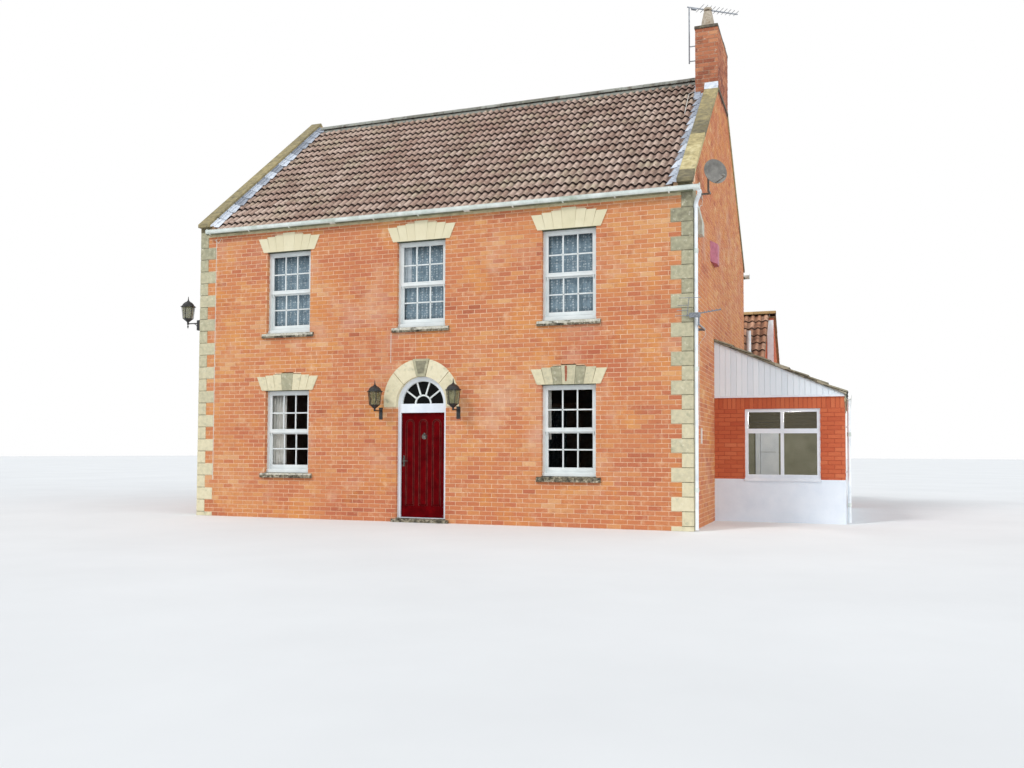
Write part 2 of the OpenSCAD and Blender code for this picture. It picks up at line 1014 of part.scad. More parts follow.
module downpipes() {
  out_z = gut_z - gut_h;
  foot = 20;
  rear_x = -wi + 160;
  rear_y = hd + 46;
  ext_pipe_y = ext_front + 120;
  color("#f2f3f3")
    union() {
      upright(pipe_x, pipe_y, pipe_r, foot, out_z - 215);
      for (z = pipe_brackets)
        span(hw + quoin_out, pipe_x - pipe_r - hair, pipe_y - 20, pipe_y + 20, z, z + 30);
      neck(pipe_x, pipe_y, out_z - 220, pipe_x + 14, gut_y, out_z - 50, pipe_r - 2);
      upright(pipe_x + 14, gut_y, pipe_r, out_z - 62, out_z);
      upright(rear_x, rear_y, pipe_r, foot, out_z - 215);
      for (z = pipe_brackets)
        span(rear_x - 20, rear_x + 20, hd, rear_y - pipe_r - hair, z, z + 30);
      neck(rear_x, rear_y, out_z - 220, rear_x, -gut_y, out_z - 50, pipe_r - 2);
      upright(rear_x, -gut_y, pipe_r, out_z - 62, out_z);
      upright(ext_gut_x, ext_pipe_y, pipe_r - 4, foot, ext_gut_z - 80);
      for (z = [900, 1700])
        span(ext_r, ext_gut_x - pipe_r + 4 - hair, ext_pipe_y - 20, ext_pipe_y + 20, z, z + 30);
      upright(vent_x, vent_y, vent_r, 0, vent_top);
      span(vent_x - 20, vent_x + 20, ext_back, vent_y - vent_r - hair, 1900, 1930);
    }
}

// One wall lantern with its plate at y = 0: arm, cup, six leaning bars, eaves, roof and finial.
module lantern(arm) {
  plate_low = -181;
  plate_top = 32;
  translate([-35, -12, plate_low])
    cube([70, 12, plate_top - plate_low]);
  translate([-9, -arm, -40])
    cube([18, arm - 11, 20]);
  translate([0, -arm, 0])
    rotate([0, 0, 10])
      union() {
        translate([-14, -14, -45])
          cube([28, 28, 55]);
        translate([0, 0, 5])
          cylinder(h = lantern_low - 5, r1 = 22, r2 = 100, $fn = 6);
        for (a = [0:60:300])
          rotate([0, 0, a])
            translate([91, -5, lantern_low - 5])
              rotate([0, 6.9, 0])
                cube([9, 10, lantern_high - lantern_low + 9]);
        translate([0, 0, lantern_high])
          cylinder(h = 14, r = 144, $fn = 6);
        translate([0, 0, lantern_high + 14])
          cylinder(h = 86, r1 = 132, r2 = 44, $fn = 6);
        translate([0, 0, lantern_high + 100])
          cylinder(h = 24, r = 26, $fn = 6);
        translate([0, 0, lantern_high + 124])
          cylinder(h = 81, r1 = 14, r2 = 4, $fn = 6);
      }
}

module door_lantern_places() {
  for (x = lantern_xs)
    translate([x, front_y, door_lantern_z])
      children();
}

module gable_lantern_place() {
  translate([-hw - quoin_out, front_y + 32, gable_lantern_z])
    rotate([0, 0, -90])
      children();
}

module wall_lanterns() {
  color("#22221f")
    union() {
      door_lantern_places()
        lantern(door_arm);
      gable_lantern_place()
        lantern(gable_arm);
    }
}

// Six leaning panes behind the bars of a lantern.
module lantern_panes(arm) {
  h = lantern_high - lantern_low - 2 * hair;
  translate([0, -arm, lantern_low + hair])
    rotate([0, 0, 10])
      difference() {
        cylinder(h = h, r1 = 89, r2 = 116, $fn = 6);
        translate([0, 0, -h])
          cylinder(h = 3 * h, r1 = 85 - 27, r2 = 112 + 27, $fn = 6);
      }
}

module lantern_glass() {
  color("#7d7a52")
    union() {
      door_lantern_places()
        lantern_panes(door_arm);
      gable_lantern_place()
        lantern_panes(gable_arm);
    }
}

// Dish of pressed metal with its feed, on a bent arm from the gable wall.
module satellite_dish() {
  arm_z = dish_z - 285;
  color("#8d8f90")
    union() {
      span(hw, hw + 8, dish_y + 240, dish_y + 360, arm_z - 65, arm_z + 95);
      span(hw + 8, hw + 170, dish_y + 285, dish_y + 315, arm_z, arm_z + 30);
      span(hw + 140, hw + 170, dish_y + 85, dish_y + 315, arm_z, arm_z + 30);
      span(hw + 140, hw + 170, dish_y + 85, dish_y + 120, arm_z + 30, dish_z - 5);
      translate([dish_x, dish_y, dish_z])
        rotate(dish_turn)
          union() {
            scale([1, 1.1, 1])
              rotate_extrude($fn = 64)
                polygon([
                  [0, -6], [110, 4], [205, 36], [205, 42], [110, 10], [0, 0]
                ]);
            translate([0, 0, -140])
              cylinder(h = 138, r = 26, $fn = 24);
            translate([190, -8, 26])
              rotate([0, -6, 0])
                cube([12, 16, 262]);
            translate([128, 0, 232])
              rotate([0, 35, 0])
                cylinder(h = 75, r = 22, $fn = 24);
          }
    }
}

// Alarm cover, lamp hood and a short cable cover on the gable wall.
module wall_boxes() {
  alarm_z = 4715;
  hood_z = 4830;
  color("#b06a78")
    translate([0, 0, alarm_z])
      linear_extrude(380)
        polygon([[hw, -1860], [hw + 95, -1520], [hw + 95, -1290], [hw, -1200]]);
  color("#c9c3ae")
    along_y(-3470, -3250)
      polygon([
        [hw, hood_z], [hw + 100, hood_z], [hw + 100, hood_z + 210], [hw + 22, hood_z + 520],
        [hw, hood_z + 520]
      ]);
  color("#e4e2da")
    span(hw, hw + 22, -3080, -3010, 1400, 1660);
}

// A straight rod of a few sides between two points.
module rod(a, b, r) {
  d = b - a;
  len = norm(d);
  translate(a)
    rotate([0, acos(d[2] / len), atan2(d[1], d[0])])
      cylinder(h = len, r = r, $fn = 8);
}

// Aerial on a mast held off the stack, its rods lying on the boom.
module roof_aerial() {
  translate([mast_x, mast_y, mast_low])
    cylinder(h = mast_top - mast_low, r = mast_r, $fn = 16);
  for (z = [mast_low + 35, mast_low + 330])
    span(mast_x + mast_r + hair, stack_l, mast_y - 8, mast_y + 8, z, z + 16);
  translate([mast_x, mast_y, mast_top + hair])
    rotate([0, 0, boom_turn]) {
      translate([-40, -9, 0])
        cube([1110, 18, 20]);
      translate([55, -28, -26 - hair])
        cube([100, 56, 26]);
      for (i = [0:9])
        translate([240 + i * 88, 170 - i * 7, 25 + hair])
          rotate([90, 0, 0])
            cylinder(h = 340 - i * 14, r = 5, $fn = 8);
    }
}

function corner_boom_z(x) = boom_z + (x - boom_l) * boom_rise;

// Part of the small aerial's boom, rising to the right.
module corner_boom(x0, x1) {
  along_y(6 + hair, 22)
    polygon([
      [x0, corner_boom_z(x0) - 9], [x1, corner_boom_z(x1) - 9],
      [x1, corner_boom_z(x1) + 9], [x0, corner_boom_z(x0) + 9]
    ]);
}

// Small aerial at the front corner, reaching past the downpipe, measured from the corner.
module wall_aerial() {
  box_l = -41;
  box_r = 135;
  rod_y = -11 - hair;
  translate([hw, corner_y, 0]) {
    rod([-75, 0, boom_z - 30], [-41, 0, boom_z + 292], 6);
    rod([-200, rod_y, boom_z + 282], [147, rod_y, boom_z + 276], 5);
    rod([-217, rod_y, boom_z + 162], [-45, rod_y, boom_z + 162], 5);
    rod([-235, rod_y, boom_z + 82], [-53, rod_y, boom_z + 82], 5);
    rod([-265, rod_y, boom_z - 3], [-62, rod_y, boom_z - 3], 5);
    corner_boom(-85, box_l - hair);
    corner_boom(box_r + hair, 460);
    span(box_l, box_r, -2, 30, boom_z - 35, boom_z + 42);
    for (i = [0:4])
      translate([200 + i * 62, -36 + i * 4, corner_boom_z(200 + i * 62) + 15.2])
        rotate([-90, 0, 0])
          cylinder(h = 100 - i * 8, r = 6, $fn = 8);
    span(97, 121, 2, 26, boom_z - 140 + hair, boom_z - 35 - hair);
    span(97, 121, 2, 604 - hair, boom_z - 164, boom_z - 140);
    span(0, 121, 604, 634, boom_z - 174, boom_z - 134);
  }
}

module tv_aerials() {
  color("#5e6062")
    union() {
      roof_aerial();
      wall_aerial();
    }
}

// White leads clipped flat to the front.
module wall_cables() {
  color("#e8e6dd")
    union() {
      span(-hw + quoin_long + 4, -hw + quoin_long + 13, front_y - 7, front_y, 690, fascia_low - 46);
      span(-608, -600, front_y - 7, front_y, upper_floor_z + 120, up_win_z - sill_h - 2);
    }
}

// Outline of the extension seen from the front, up to the roof's underside.
module ext_outline(x0, x1, z0) {
  polygon([
    [x0, z0], [x1, z0], [x1, ext_z(x1) - ext_roof_t], [x0, ext_z(x0) - ext_roof_t]
  ]);
}

module extension_walls() {
  color("#a04a2f")
    union() {
      difference() {
        along_y(ext_front, ext_front + ext_wall)
          ext_outline(hw, ext_r, 0);
        span(ext_win_x, ext_win_x + ext_win_w, ext_front - 50, ext_front + ext_wall + 50,
          ext_win_z - ext_sill_h, ext_win_z + ext_win_h);
      }
      span(ext_r - ext_wall, ext_r, ext_front + ext_wall, ext_back - ext_wall,
        0, ext_z(ext_r) - ext_roof_t);
      along_y(ext_back - ext_wall, ext_back)
        ext_outline(hw, ext_r, 0);
    }
}

// White rendered plinth on the two free sides, with the window's sill let into the wall.
module extension_plinth() {
  t = 14;
  color("#e9ecf2")
    union() {
      span(hw, ext_r - hair, ext_front - t, ext_front, 0, ext_win_z - ext_sill_h - 1);
      span(hw, ext_win_x - 20, ext_front - t, ext_front, ext_win_z - ext_sill_h - 1, ext_plinth_z);
      span(ext_win_x + ext_win_w + 20, ext_r - hair, ext_front - t, ext_front,
        ext_win_z - ext_sill_h - 1, ext_plinth_z);
      span(ext_r, ext_r + t, ext_front - t, ext_back, 0, ext_plinth_z);
    }
}

module extension_cladding() {
  color("#eceef2")
    along_y(ext_front - 24, ext_front)
      ext_outline(hw, ext_r, ext_clad_z);
}

// Extension window: outer frame, mullion, transom and the sill that carries them.
module extension_window() {
  y0 = ext_front + 22;
  y1 = y0 + 70;
  mid = ext_win_x + ext_win_w / 2;
  color("#f4f5f3")
    union() {
      translate([ext_win_x, 0, ext_win_z])
        ring_box(ext_win_w, ext_win_h, ext_bar, y0, y1);
      span(mid - ext_bar / 2, mid + ext_bar / 2, y0, y1,
        ext_win_z + ext_bar, ext_win_z + ext_win_h - ext_bar);
      span(ext_win_x + ext_bar, ext_win_x + ext_win_w - ext_bar, y0, y1,
        ext_transom_z, ext_transom_z + ext_bar + 12);
      span(ext_win_x, ext_win_x + ext_win_w, ext_front - 40, y1,
        ext_win_z - ext_sill_h, ext_win_z);
    }
}

module extension_glass() {
  w = ext_win_w / 2 - ext_bar * 1.5;
  y = ext_front + 52;
  top = ext_transom_z + ext_bar + 12;
  color("#8f9a8e")
    union() {
      for (x = [ext_win_x + ext_bar, ext_win_x + ext_win_w / 2 + ext_bar / 2]) {
        span(x, x + w, y, y + 6, ext_win_z + ext_bar, ext_transom_z);
        span(x, x + w, y, y + 6, top, ext_win_z + ext_win_h - ext_bar);
      }
    }
}

module extension_roof() {
  color("#6b6357")
    along_y(ext_front - verge, ext_back)
      polygon([
        [hw, ext_top - ext_roof_t + hair], [ext_r + 40, ext_z(ext_r + 40) - ext_roof_t + hair],
        [ext_r + 40, ext_z(ext_r + 40)], [hw, ext_top]
      ]);
}

// Side outline of the wing up to the underside of its roof.
module wing_profile() {
  top = wing_z(wing_eave_f) - wing_t;
  polygon([
    [hd, 0], [wing_b, 0], [wing_b, wing_z(wing_b) - wing_t],
    [wing_ridge_y, wing_ridge_z - wing_t], [wing_eave_f, top], [hd, top]
  ]);
}

// Plan of the wing, a little wider behind its ridge.
module wing_plan() {
  step_y = wing_ridge_y - 45;
  polygon([
    [wing_left, hd], [wing_link_r, hd], [wing_link_r, wing_eave_f], [wing_r, wing_eave_f],
    [wing_r, step_y], [wing_r + wing_step, step_y], [wing_r + wing_step, wing_b],
    [wing_left, wing_b]
  ]);
}

// Plan of the room in the wing, open to the main block's rear wall at y0.
module wing_room_plan(y0) {
  w = wing_wall;
  polygon([
    [wing_left + w, y0], [wing_link_r - w, y0], [wing_link_r - w, wing_eave_f + w],
    [wing_r - w, wing_eave_f + w], [wing_r - w, wing_b - w], [wing_left + w, wing_b - w]
  ]);
}

module wing_walls() {
  color("#a65a3c")
    difference() {
      intersection() {
        along_x(wing_left, wing_r + wing_step)
          wing_profile();
        linear_extrude(wing_ridge_z)
          wing_plan();
      }
      translate([0, 0, -1])
        linear_extrude(wing_ridge_z)
          wing_room_plan(hd - 1);
      window_holes(wing_win_x, low_win_z, wing_b - wing_wall - 10, wing_b + 10);
    }
}

module wing_roof() {
  color("#9c4f38")
    union() {
      along_x(wing_left - verge, wing_r + verge)
        polygon([
          [wing_eave_f, wing_z(wing_eave_f) - wing_t + hair], [wing_eave_f, wing_z(wing_eave_f)],
          [wing_ridge_y, wing_ridge_z], [wing_ridge_y, wing_ridge_z - wing_t + hair]
        ]);
      along_x(wing_left - verge, wing_r + wing_step + verge)
        polygon([
          [wing_ridge_y, wing_ridge_z - wing_t + hair], [wing_ridge_y, wing_ridge_z],
          [wing_b + 80, wing_z(wing_b + 80)], [wing_b + 80, wing_z(wing_b + 80) - wing_t + hair]
        ]);
      along_x(wing_left - verge, wing_r + wing_step + verge)
        polygon([
          [wing_ridge_y - 60, wing_z(wing_ridge_y - 60) + hair], [wing_ridge_y - 60, wing_ridge_z],
          [wing_ridge_y, wing_ridge_z + 38], [wing_ridge_y + 60, wing_ridge_z],
          [wing_ridge_y + 60, wing_z(wing_ridge_y + 60) + hair], [wing_ridge_y, wing_ridge_z + hair]
        ]);
    }
}

// White board under the front verge and the boarded strip beside it, below the ridge.
module wing_bargeboards() {
  step_y = wing_ridge_y - 45;
  strip_low = 2000;
  color("#eef0f4")
    union() {
      along_x(wing_r, wing_r + 22)
        polygon([
          [wing_eave_f, wing_z(wing_eave_f) - wing_t - 90], [wing_eave_f, wing_z(wing_eave_f) - wing_t],
          [step_y - 12, wing_z(step_y - 12) - wing_t], [step_y - 12, wing_z(step_y - 12) - wing_t - 90]
        ]);
      span(wing_r + 24, wing_r + wing_step, step_y - 10, step_y, strip_low,
        wing_z(step_y - 10) - wing_t - 5);
    }
}

ground_floor();
upper_floor();
front_wall_left();
front_wall_right();
front_wall_over_door();
rear_wall();
left_gable_wall();
right_gable_wall();
quoins();
window_lintels();
window_sills();
upper_window_frames();
lower_window_frames();
upper_window_glass();
lower_window_glass();
door_arch();
door_frame();
fanlight_glass();
front_door();
door_hinges();
frame_hinges();
door_knocker();
door_handle();
door_step();
main_roof();
ridge_tiles();
gable_copings();
roof_flashings();
chimney_stack();
chimney_band();
chimney_cap();
chimney_pot();
fascia_boards();
gutters();
downpipes();
wall_lanterns();
lantern_glass();
satellite_dish();
wall_boxes();
tv_aerials();
wall_cables();
extension_walls();
extension_plinth();
extension_cladding();
extension_window();
extension_glass();
extension_roof();
wing_walls();
wing_roof();
wing_bargeboards();
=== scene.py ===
import bmesh
import bpy
import math
import random
from mathutils import Matrix, Vector, noise


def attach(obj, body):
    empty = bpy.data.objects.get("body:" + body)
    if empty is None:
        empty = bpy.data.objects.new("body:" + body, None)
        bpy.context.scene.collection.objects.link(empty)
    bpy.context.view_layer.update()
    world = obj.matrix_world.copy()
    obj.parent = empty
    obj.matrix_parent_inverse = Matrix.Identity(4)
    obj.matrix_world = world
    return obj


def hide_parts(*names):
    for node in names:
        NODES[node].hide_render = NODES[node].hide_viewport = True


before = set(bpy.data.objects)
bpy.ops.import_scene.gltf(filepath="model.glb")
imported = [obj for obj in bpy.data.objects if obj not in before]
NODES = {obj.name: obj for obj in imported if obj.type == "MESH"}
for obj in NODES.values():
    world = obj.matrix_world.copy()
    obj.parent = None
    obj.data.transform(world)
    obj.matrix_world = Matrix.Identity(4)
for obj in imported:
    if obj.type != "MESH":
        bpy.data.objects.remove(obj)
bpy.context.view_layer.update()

# Sizes of the house in metres, as the solids have them: half width, half depth and inside half width
HW, HD = 4.765, 3.895
WI = HW - 0.30
COURSE, JOINT, BRICK = 0.0775, 0.010, 0.215
# The walls face the front with no turn, and these are the turns of the others
FACES_RIGHT, FACES_BACK, FACES_LEFT = math.radians(90), math.radians(180), math.radians(-90)
# Main roof: its ridge, how far it falls for each metre of depth, and the length of slope for that metre
RIDGE, FALL = 8.819, 0.836
SLANT = math.hypot(1, FALL)
TILE_ROWS, EAVE_BRICKS, GABLE_BRICKS = 16, 5.40, 8.88
# Each downpipe: x, y, radius, foot and top, then the radius and heights of its sockets
PIPES = ((4.815, -3.835, 0.032, 0.02, 5.20, 0.039, (0.62, 2.55, 4.45)),
         (-4.305, 3.941, 0.033, 0.02, 5.208, 0.039, (0.62, 2.55, 4.45)),
         (7.101, -1.223, 0.029, 0.02, 2.195, 0.035, (0.3, 1.55)),
         (4.867, 4.060, 0.052, 0.0, 4.184, 0.058, (1.9, 3.6)))
# Copings: their top and seat above the tile line, and their inner edge
COPING_UP, SEAT_UP, COPING_IN = 0.165, 0.065, 4.530
# Stones: the corner stones, and how far bricks run under a stone
QUOIN_BASE, QUOIN_LONG, QUOIN_SHORT, QUOIN_OUT = 0.082, 0.345, 0.172, 0.012
LINTEL_OUT, UNDER_STONE = 0.018, 0.03
# Windows: their size, how deep they stand, and the feet of both rows
WIN_W, WIN_H, REVEAL = 0.950, 1.538, 0.075
LOW_Z, UP_Z = 0.842, 3.4658
# Heights of the lintel stones, from the middle one outward
UPPER_RISES, LOWER_RISES = (0.354, 0.314, 0.292, 0.265), (0.320, 0.302, 0.286, 0.263)
# The middles of the window columns, and the middle and foot of each window
COLUMNS = (-2.766, -0.023, 2.710)
FRONT_WINDOWS = [(x, UP_Z) for x in COLUMNS] + [(x, LOW_Z) for x in (COLUMNS[0], COLUMNS[2])]
REAR_WINDOWS = [(x, z) for z in (UP_Z, LOW_Z) for x in COLUMNS[:2]]
WING_WINDOWS = [(x, LOW_Z) for x in (2.0, 3.7)]
# Doorway: half width, height of the arch's centre, thickness of the arch, height where it springs
DOOR_R, ARCH_Z, ARCH_T, SPRING = 0.483, 2.095, 0.245, 2.035
# Chimney stack: its sides, where its own bricks begin on the gable, its top, and the mortar under the pot
STACK_L, STACK_R, STACK_F, STACK_B = 4.347, 4.777, -0.752, 0.803
STACK_FOOT, STACK_TOP, POT_BED = 8.205, 9.525, 0.150
GUTTER_Y, GUTTER_Z, GUTTER_R = 3.981, 5.4829, 0.060
DOOR_FRAME_Y, LEAF_Y = -3.835, -3.790
# Side extension: right side, front, top of its roof at the house and its fall, and the window's four edges
EXT_R, EXT_FRONT, EXT_TOP, EXT_FALL = 7.030, -1.343, 3.382, 1.005 / 2.265
EXT_WIN = (5.310, 6.622, 0.800, 2.050)
# Rear wing: its sides, the step out of its rear half, front and rear, its roof, and the link's right side
WING_L, WING_R, WING_STEP, WING_F, WING_B = 0.900, 5.157, 0.177, 4.225, 6.965
WING_RIDGE_Y, WING_RIDGE, WING_FALL, WING_T, LINK_R = 5.595, 4.835, 0.9, 0.150, 4.600


def tile_z(y):
    return RIDGE - FALL * abs(y)


def wing_z(y):
    return WING_RIDGE - WING_FALL * abs(y - WING_RIDGE_Y)


def ext_z(x):
    return EXT_TOP - EXT_FALL * (x - HW)


# ---------------------------------------------------------------- camera and light

def in_scene(name, data):
    """Makes an object of the data and puts it in the scene."""
    made = bpy.data.objects.new(name, data)
    bpy.context.scene.collection.objects.link(made)
    return made


def make_camera():
    """The camera that was solved from the photograph, with its centre moved up on the picture."""
    width, height, focus, centre = 1024, 768, 921.4577, 416.2065
    yaw, pitch, roll = 0.348928, 0.0390545, 0.00444924
    ahead = Vector((-math.sin(yaw), math.cos(yaw), 0.0))
    side = Vector((math.cos(yaw), math.sin(yaw), 0.0))
    up = Vector((0.0, 0.0, 1.0))
    view = ahead * math.cos(pitch) + up * math.sin(pitch)
    rise = up * math.cos(pitch) - ahead * math.sin(pitch)
    right = side * math.cos(roll) + rise * math.sin(roll)
    top = rise * math.cos(roll) - side * math.sin(roll)
    data = bpy.data.cameras.new("photo_camera")
    data.sensor_fit, data.sensor_width = "HORIZONTAL", 36.0
    data.lens = focus / width * data.sensor_width
    data.shift_y = (centre - height / 2) / width
    data.clip_end = 400
    cam = in_scene("photo_camera", data)
    rows = Matrix((right, top, -view)).transposed().to_4x4()
    cam.matrix_world = Matrix.Translation((7.06826, -18.62405, 1.24242)) @ rows
    bpy.context.scene.camera = cam


def add(tree, kind, links=None, **settings):
    """Adds one node with its settings, and fills or links its inputs."""
    node = tree.nodes.new(kind)
    for key, value in settings.items():
        setattr(node, key, value)
    for key, value in (links or {}).items():
        socket = node.inputs[key]
        if isinstance(value, bpy.types.Node):
            value = value.outputs[0]
        if isinstance(value, bpy.types.NodeSocket):
            tree.links.new(value, socket)
        else:
            socket.default_value = value
    return node


def linear(code):
    """An sRGB hex colour as the linear colour that a shader reads."""
    parts = [int(code[i:i + 2], 16) / 255 for i in (1, 3, 5)]
    return [c / 12.92 if c <= 0.04045 else ((c + 0.055) / 1.055) ** 2.4 for c in parts] + [1.0]


def calculate(tree, operation, *values):
    """Adds a node that works out one sum, product or the like of these values."""
    return add(tree, "ShaderNodeMath", dict(enumerate(values)), operation=operation)


def make_light():
    """A white studio with an overcast light, two broad suns and a lamp in the extension's room."""
    world = bpy.data.worlds.new("studio")
    bpy.context.scene.world = world
    world.use_nodes = True
    tree = world.node_tree
    tree.nodes.clear()
    rays = add(tree, "ShaderNodeLightPath").outputs
    seen = calculate(tree, "MAXIMUM", rays["Is Camera Ray"], rays["Is Glossy Ray"])
    seen = calculate(tree, "MAXIMUM", seen, rays["Is Transmission Ray"])
    shown = add(tree, "ShaderNodeBackground", {"Color": linear("#ffffff"), "Strength": 1.0})
    lighting = add(tree, "ShaderNodeBackground", {"Color": linear("#eef6ff"), "Strength": 0.72})
    mix = add(tree, "ShaderNodeMixShader", {0: seen, 1: lighting, 2: shown})
    add(tree, "ShaderNodeOutputWorld", {"Surface": mix})
    for name, turn, strength, size in (("key_light", (46, 0, -34), 1.40, 14),
                                       ("fill_light", (62, 0, 62), 1.1, 60)):
        sun = bpy.data.lights.new(name, "SUN")
        sun.energy, sun.angle = strength, math.radians(size)
        in_scene(name, sun).rotation_euler = [math.radians(a) for a in turn]
    lamp = bpy.data.lights.new("room_light", "POINT")
    lamp.energy, lamp.shadow_soft_size = 150.0, 0.25
    shining = in_scene("room_light", lamp)
    shining.location = (6.0, 0.6, 2.05)
    shining.visible_camera = False


# ---------------------------------------------------------------- materials

def blend(tree, share, under, over):
    """Lays the colour over the one under it, by a share from 0 to 1."""
    inputs = {0: share, 6: under, 7: linear(over)}
    return add(tree, "ShaderNodeMix", inputs, data_type="RGBA").outputs[2]


def material(name, colours, rough, grain=40, tone=None, patches=(), relief=(), lap=None, dots=None,
             **sockets):
    """A mottled surface. colours are hex codes that run over a noise of grain millimetres, or over the
    piece's own tone where tone is set. patches are (colour, size in mm, share covered, softness, strength)
    laid over it, lap is the colour of dirt and painted shade where one tile covers the next, on its front
    edge and in its troughs, dots are a (colour, spacing in mm) woven in, and relief is (size, height) in mm
    for the bumps."""
    colours = colours.split()
    made = bpy.data.materials.new(name)
    made.use_nodes = True
    tree = made.node_tree
    tree.nodes.clear()
    middle_of_noise = {1: 0.3, 2: 0.7}
    place = add(tree, "ShaderNodeTexCoord").outputs["Object"]
    mottle = add(tree, "ShaderNodeTexNoise",
                 {"Vector": place, "Scale": 1000 / grain, "Detail": 4.0, "Roughness": 0.6})
    ramp = add(tree, "ShaderNodeValToRGB", {0: mottle})
    if tone:
        own = add(tree, "ShaderNodeAttribute", attribute_name="tone").outputs["Fac"]
        swing = add(tree, "ShaderNodeMapRange", {0: mottle, **middle_of_noise, 3: -tone, 4: tone})
        tree.links.new(calculate(tree, "ADD", own, swing).outputs[0], ramp.inputs[0])
    spots = ramp.color_ramp.elements
    first, last = (0.0, 1.0) if tone else (0.32, 0.68)
    while len(spots) < len(colours):
        spots.new(0.5)
    for i, code in enumerate(colours):
        spots[i].position = first + (last - first) * i / max(1, len(colours) - 1)
        spots[i].color = linear(code)
    colour = ramp
    for k, (code, size, share, soft, *strength) in enumerate(patches):
        inputs = {"Vector": place, "W": 3.7 * k + 1, "Scale": 1000 / size, "Detail": 5.0, "Roughness": 0.62}
        cloud = add(tree, "ShaderNodeTexNoise", inputs, noise_dimensions="4D")
        edge = 0.72 - 0.44 * share
        inputs = {0: cloud, 1: edge - soft, 2: edge + soft, 4: strength[0] if strength else 1.0}
        colour = blend(tree, add(tree, "ShaderNodeMapRange", inputs), colour, code)
    if dots:
        inputs = {"Vector": place, "Scale": 1000 / dots[1], "Randomness": 0.45}
        cells = add(tree, "ShaderNodeTexVoronoi", inputs)
        colour = blend(tree, add(tree, "ShaderNodeMapRange", {0: cells, 1: 0.42, 2: 0.25}), colour, dots[0])
    if lap:
        covered = add(tree, "ShaderNodeAttribute", attribute_name="lap").outputs["Fac"]
        colour = blend(tree, covered, colour, lap)
    if isinstance(rough, tuple):
        rough = add(tree, "ShaderNodeMapRange", {0: mottle, **middle_of_noise, 3: rough[0], 4: rough[1]})
    shader = add(tree, "ShaderNodeBsdfPrincipled", {"Base Color": colour, "Roughness": rough, **sockets})
    bump = None
    for size, height in relief:
        grit = add(tree, "ShaderNodeTexNoise", {"Vector": place, "Scale": 1000 / size, "Detail": 3.0})
        links = {"Height": grit, "Distance": height / 1000, "Strength": 1.0}
        if bump:
            links["Normal"] = bump
        bump = add(tree, "ShaderNodeBump", links)
    if bump:
        tree.links.new(bump.outputs[0], shader.inputs["Normal"])
    add(tree, "ShaderNodeOutputMaterial", {"Surface": shader})
    return made


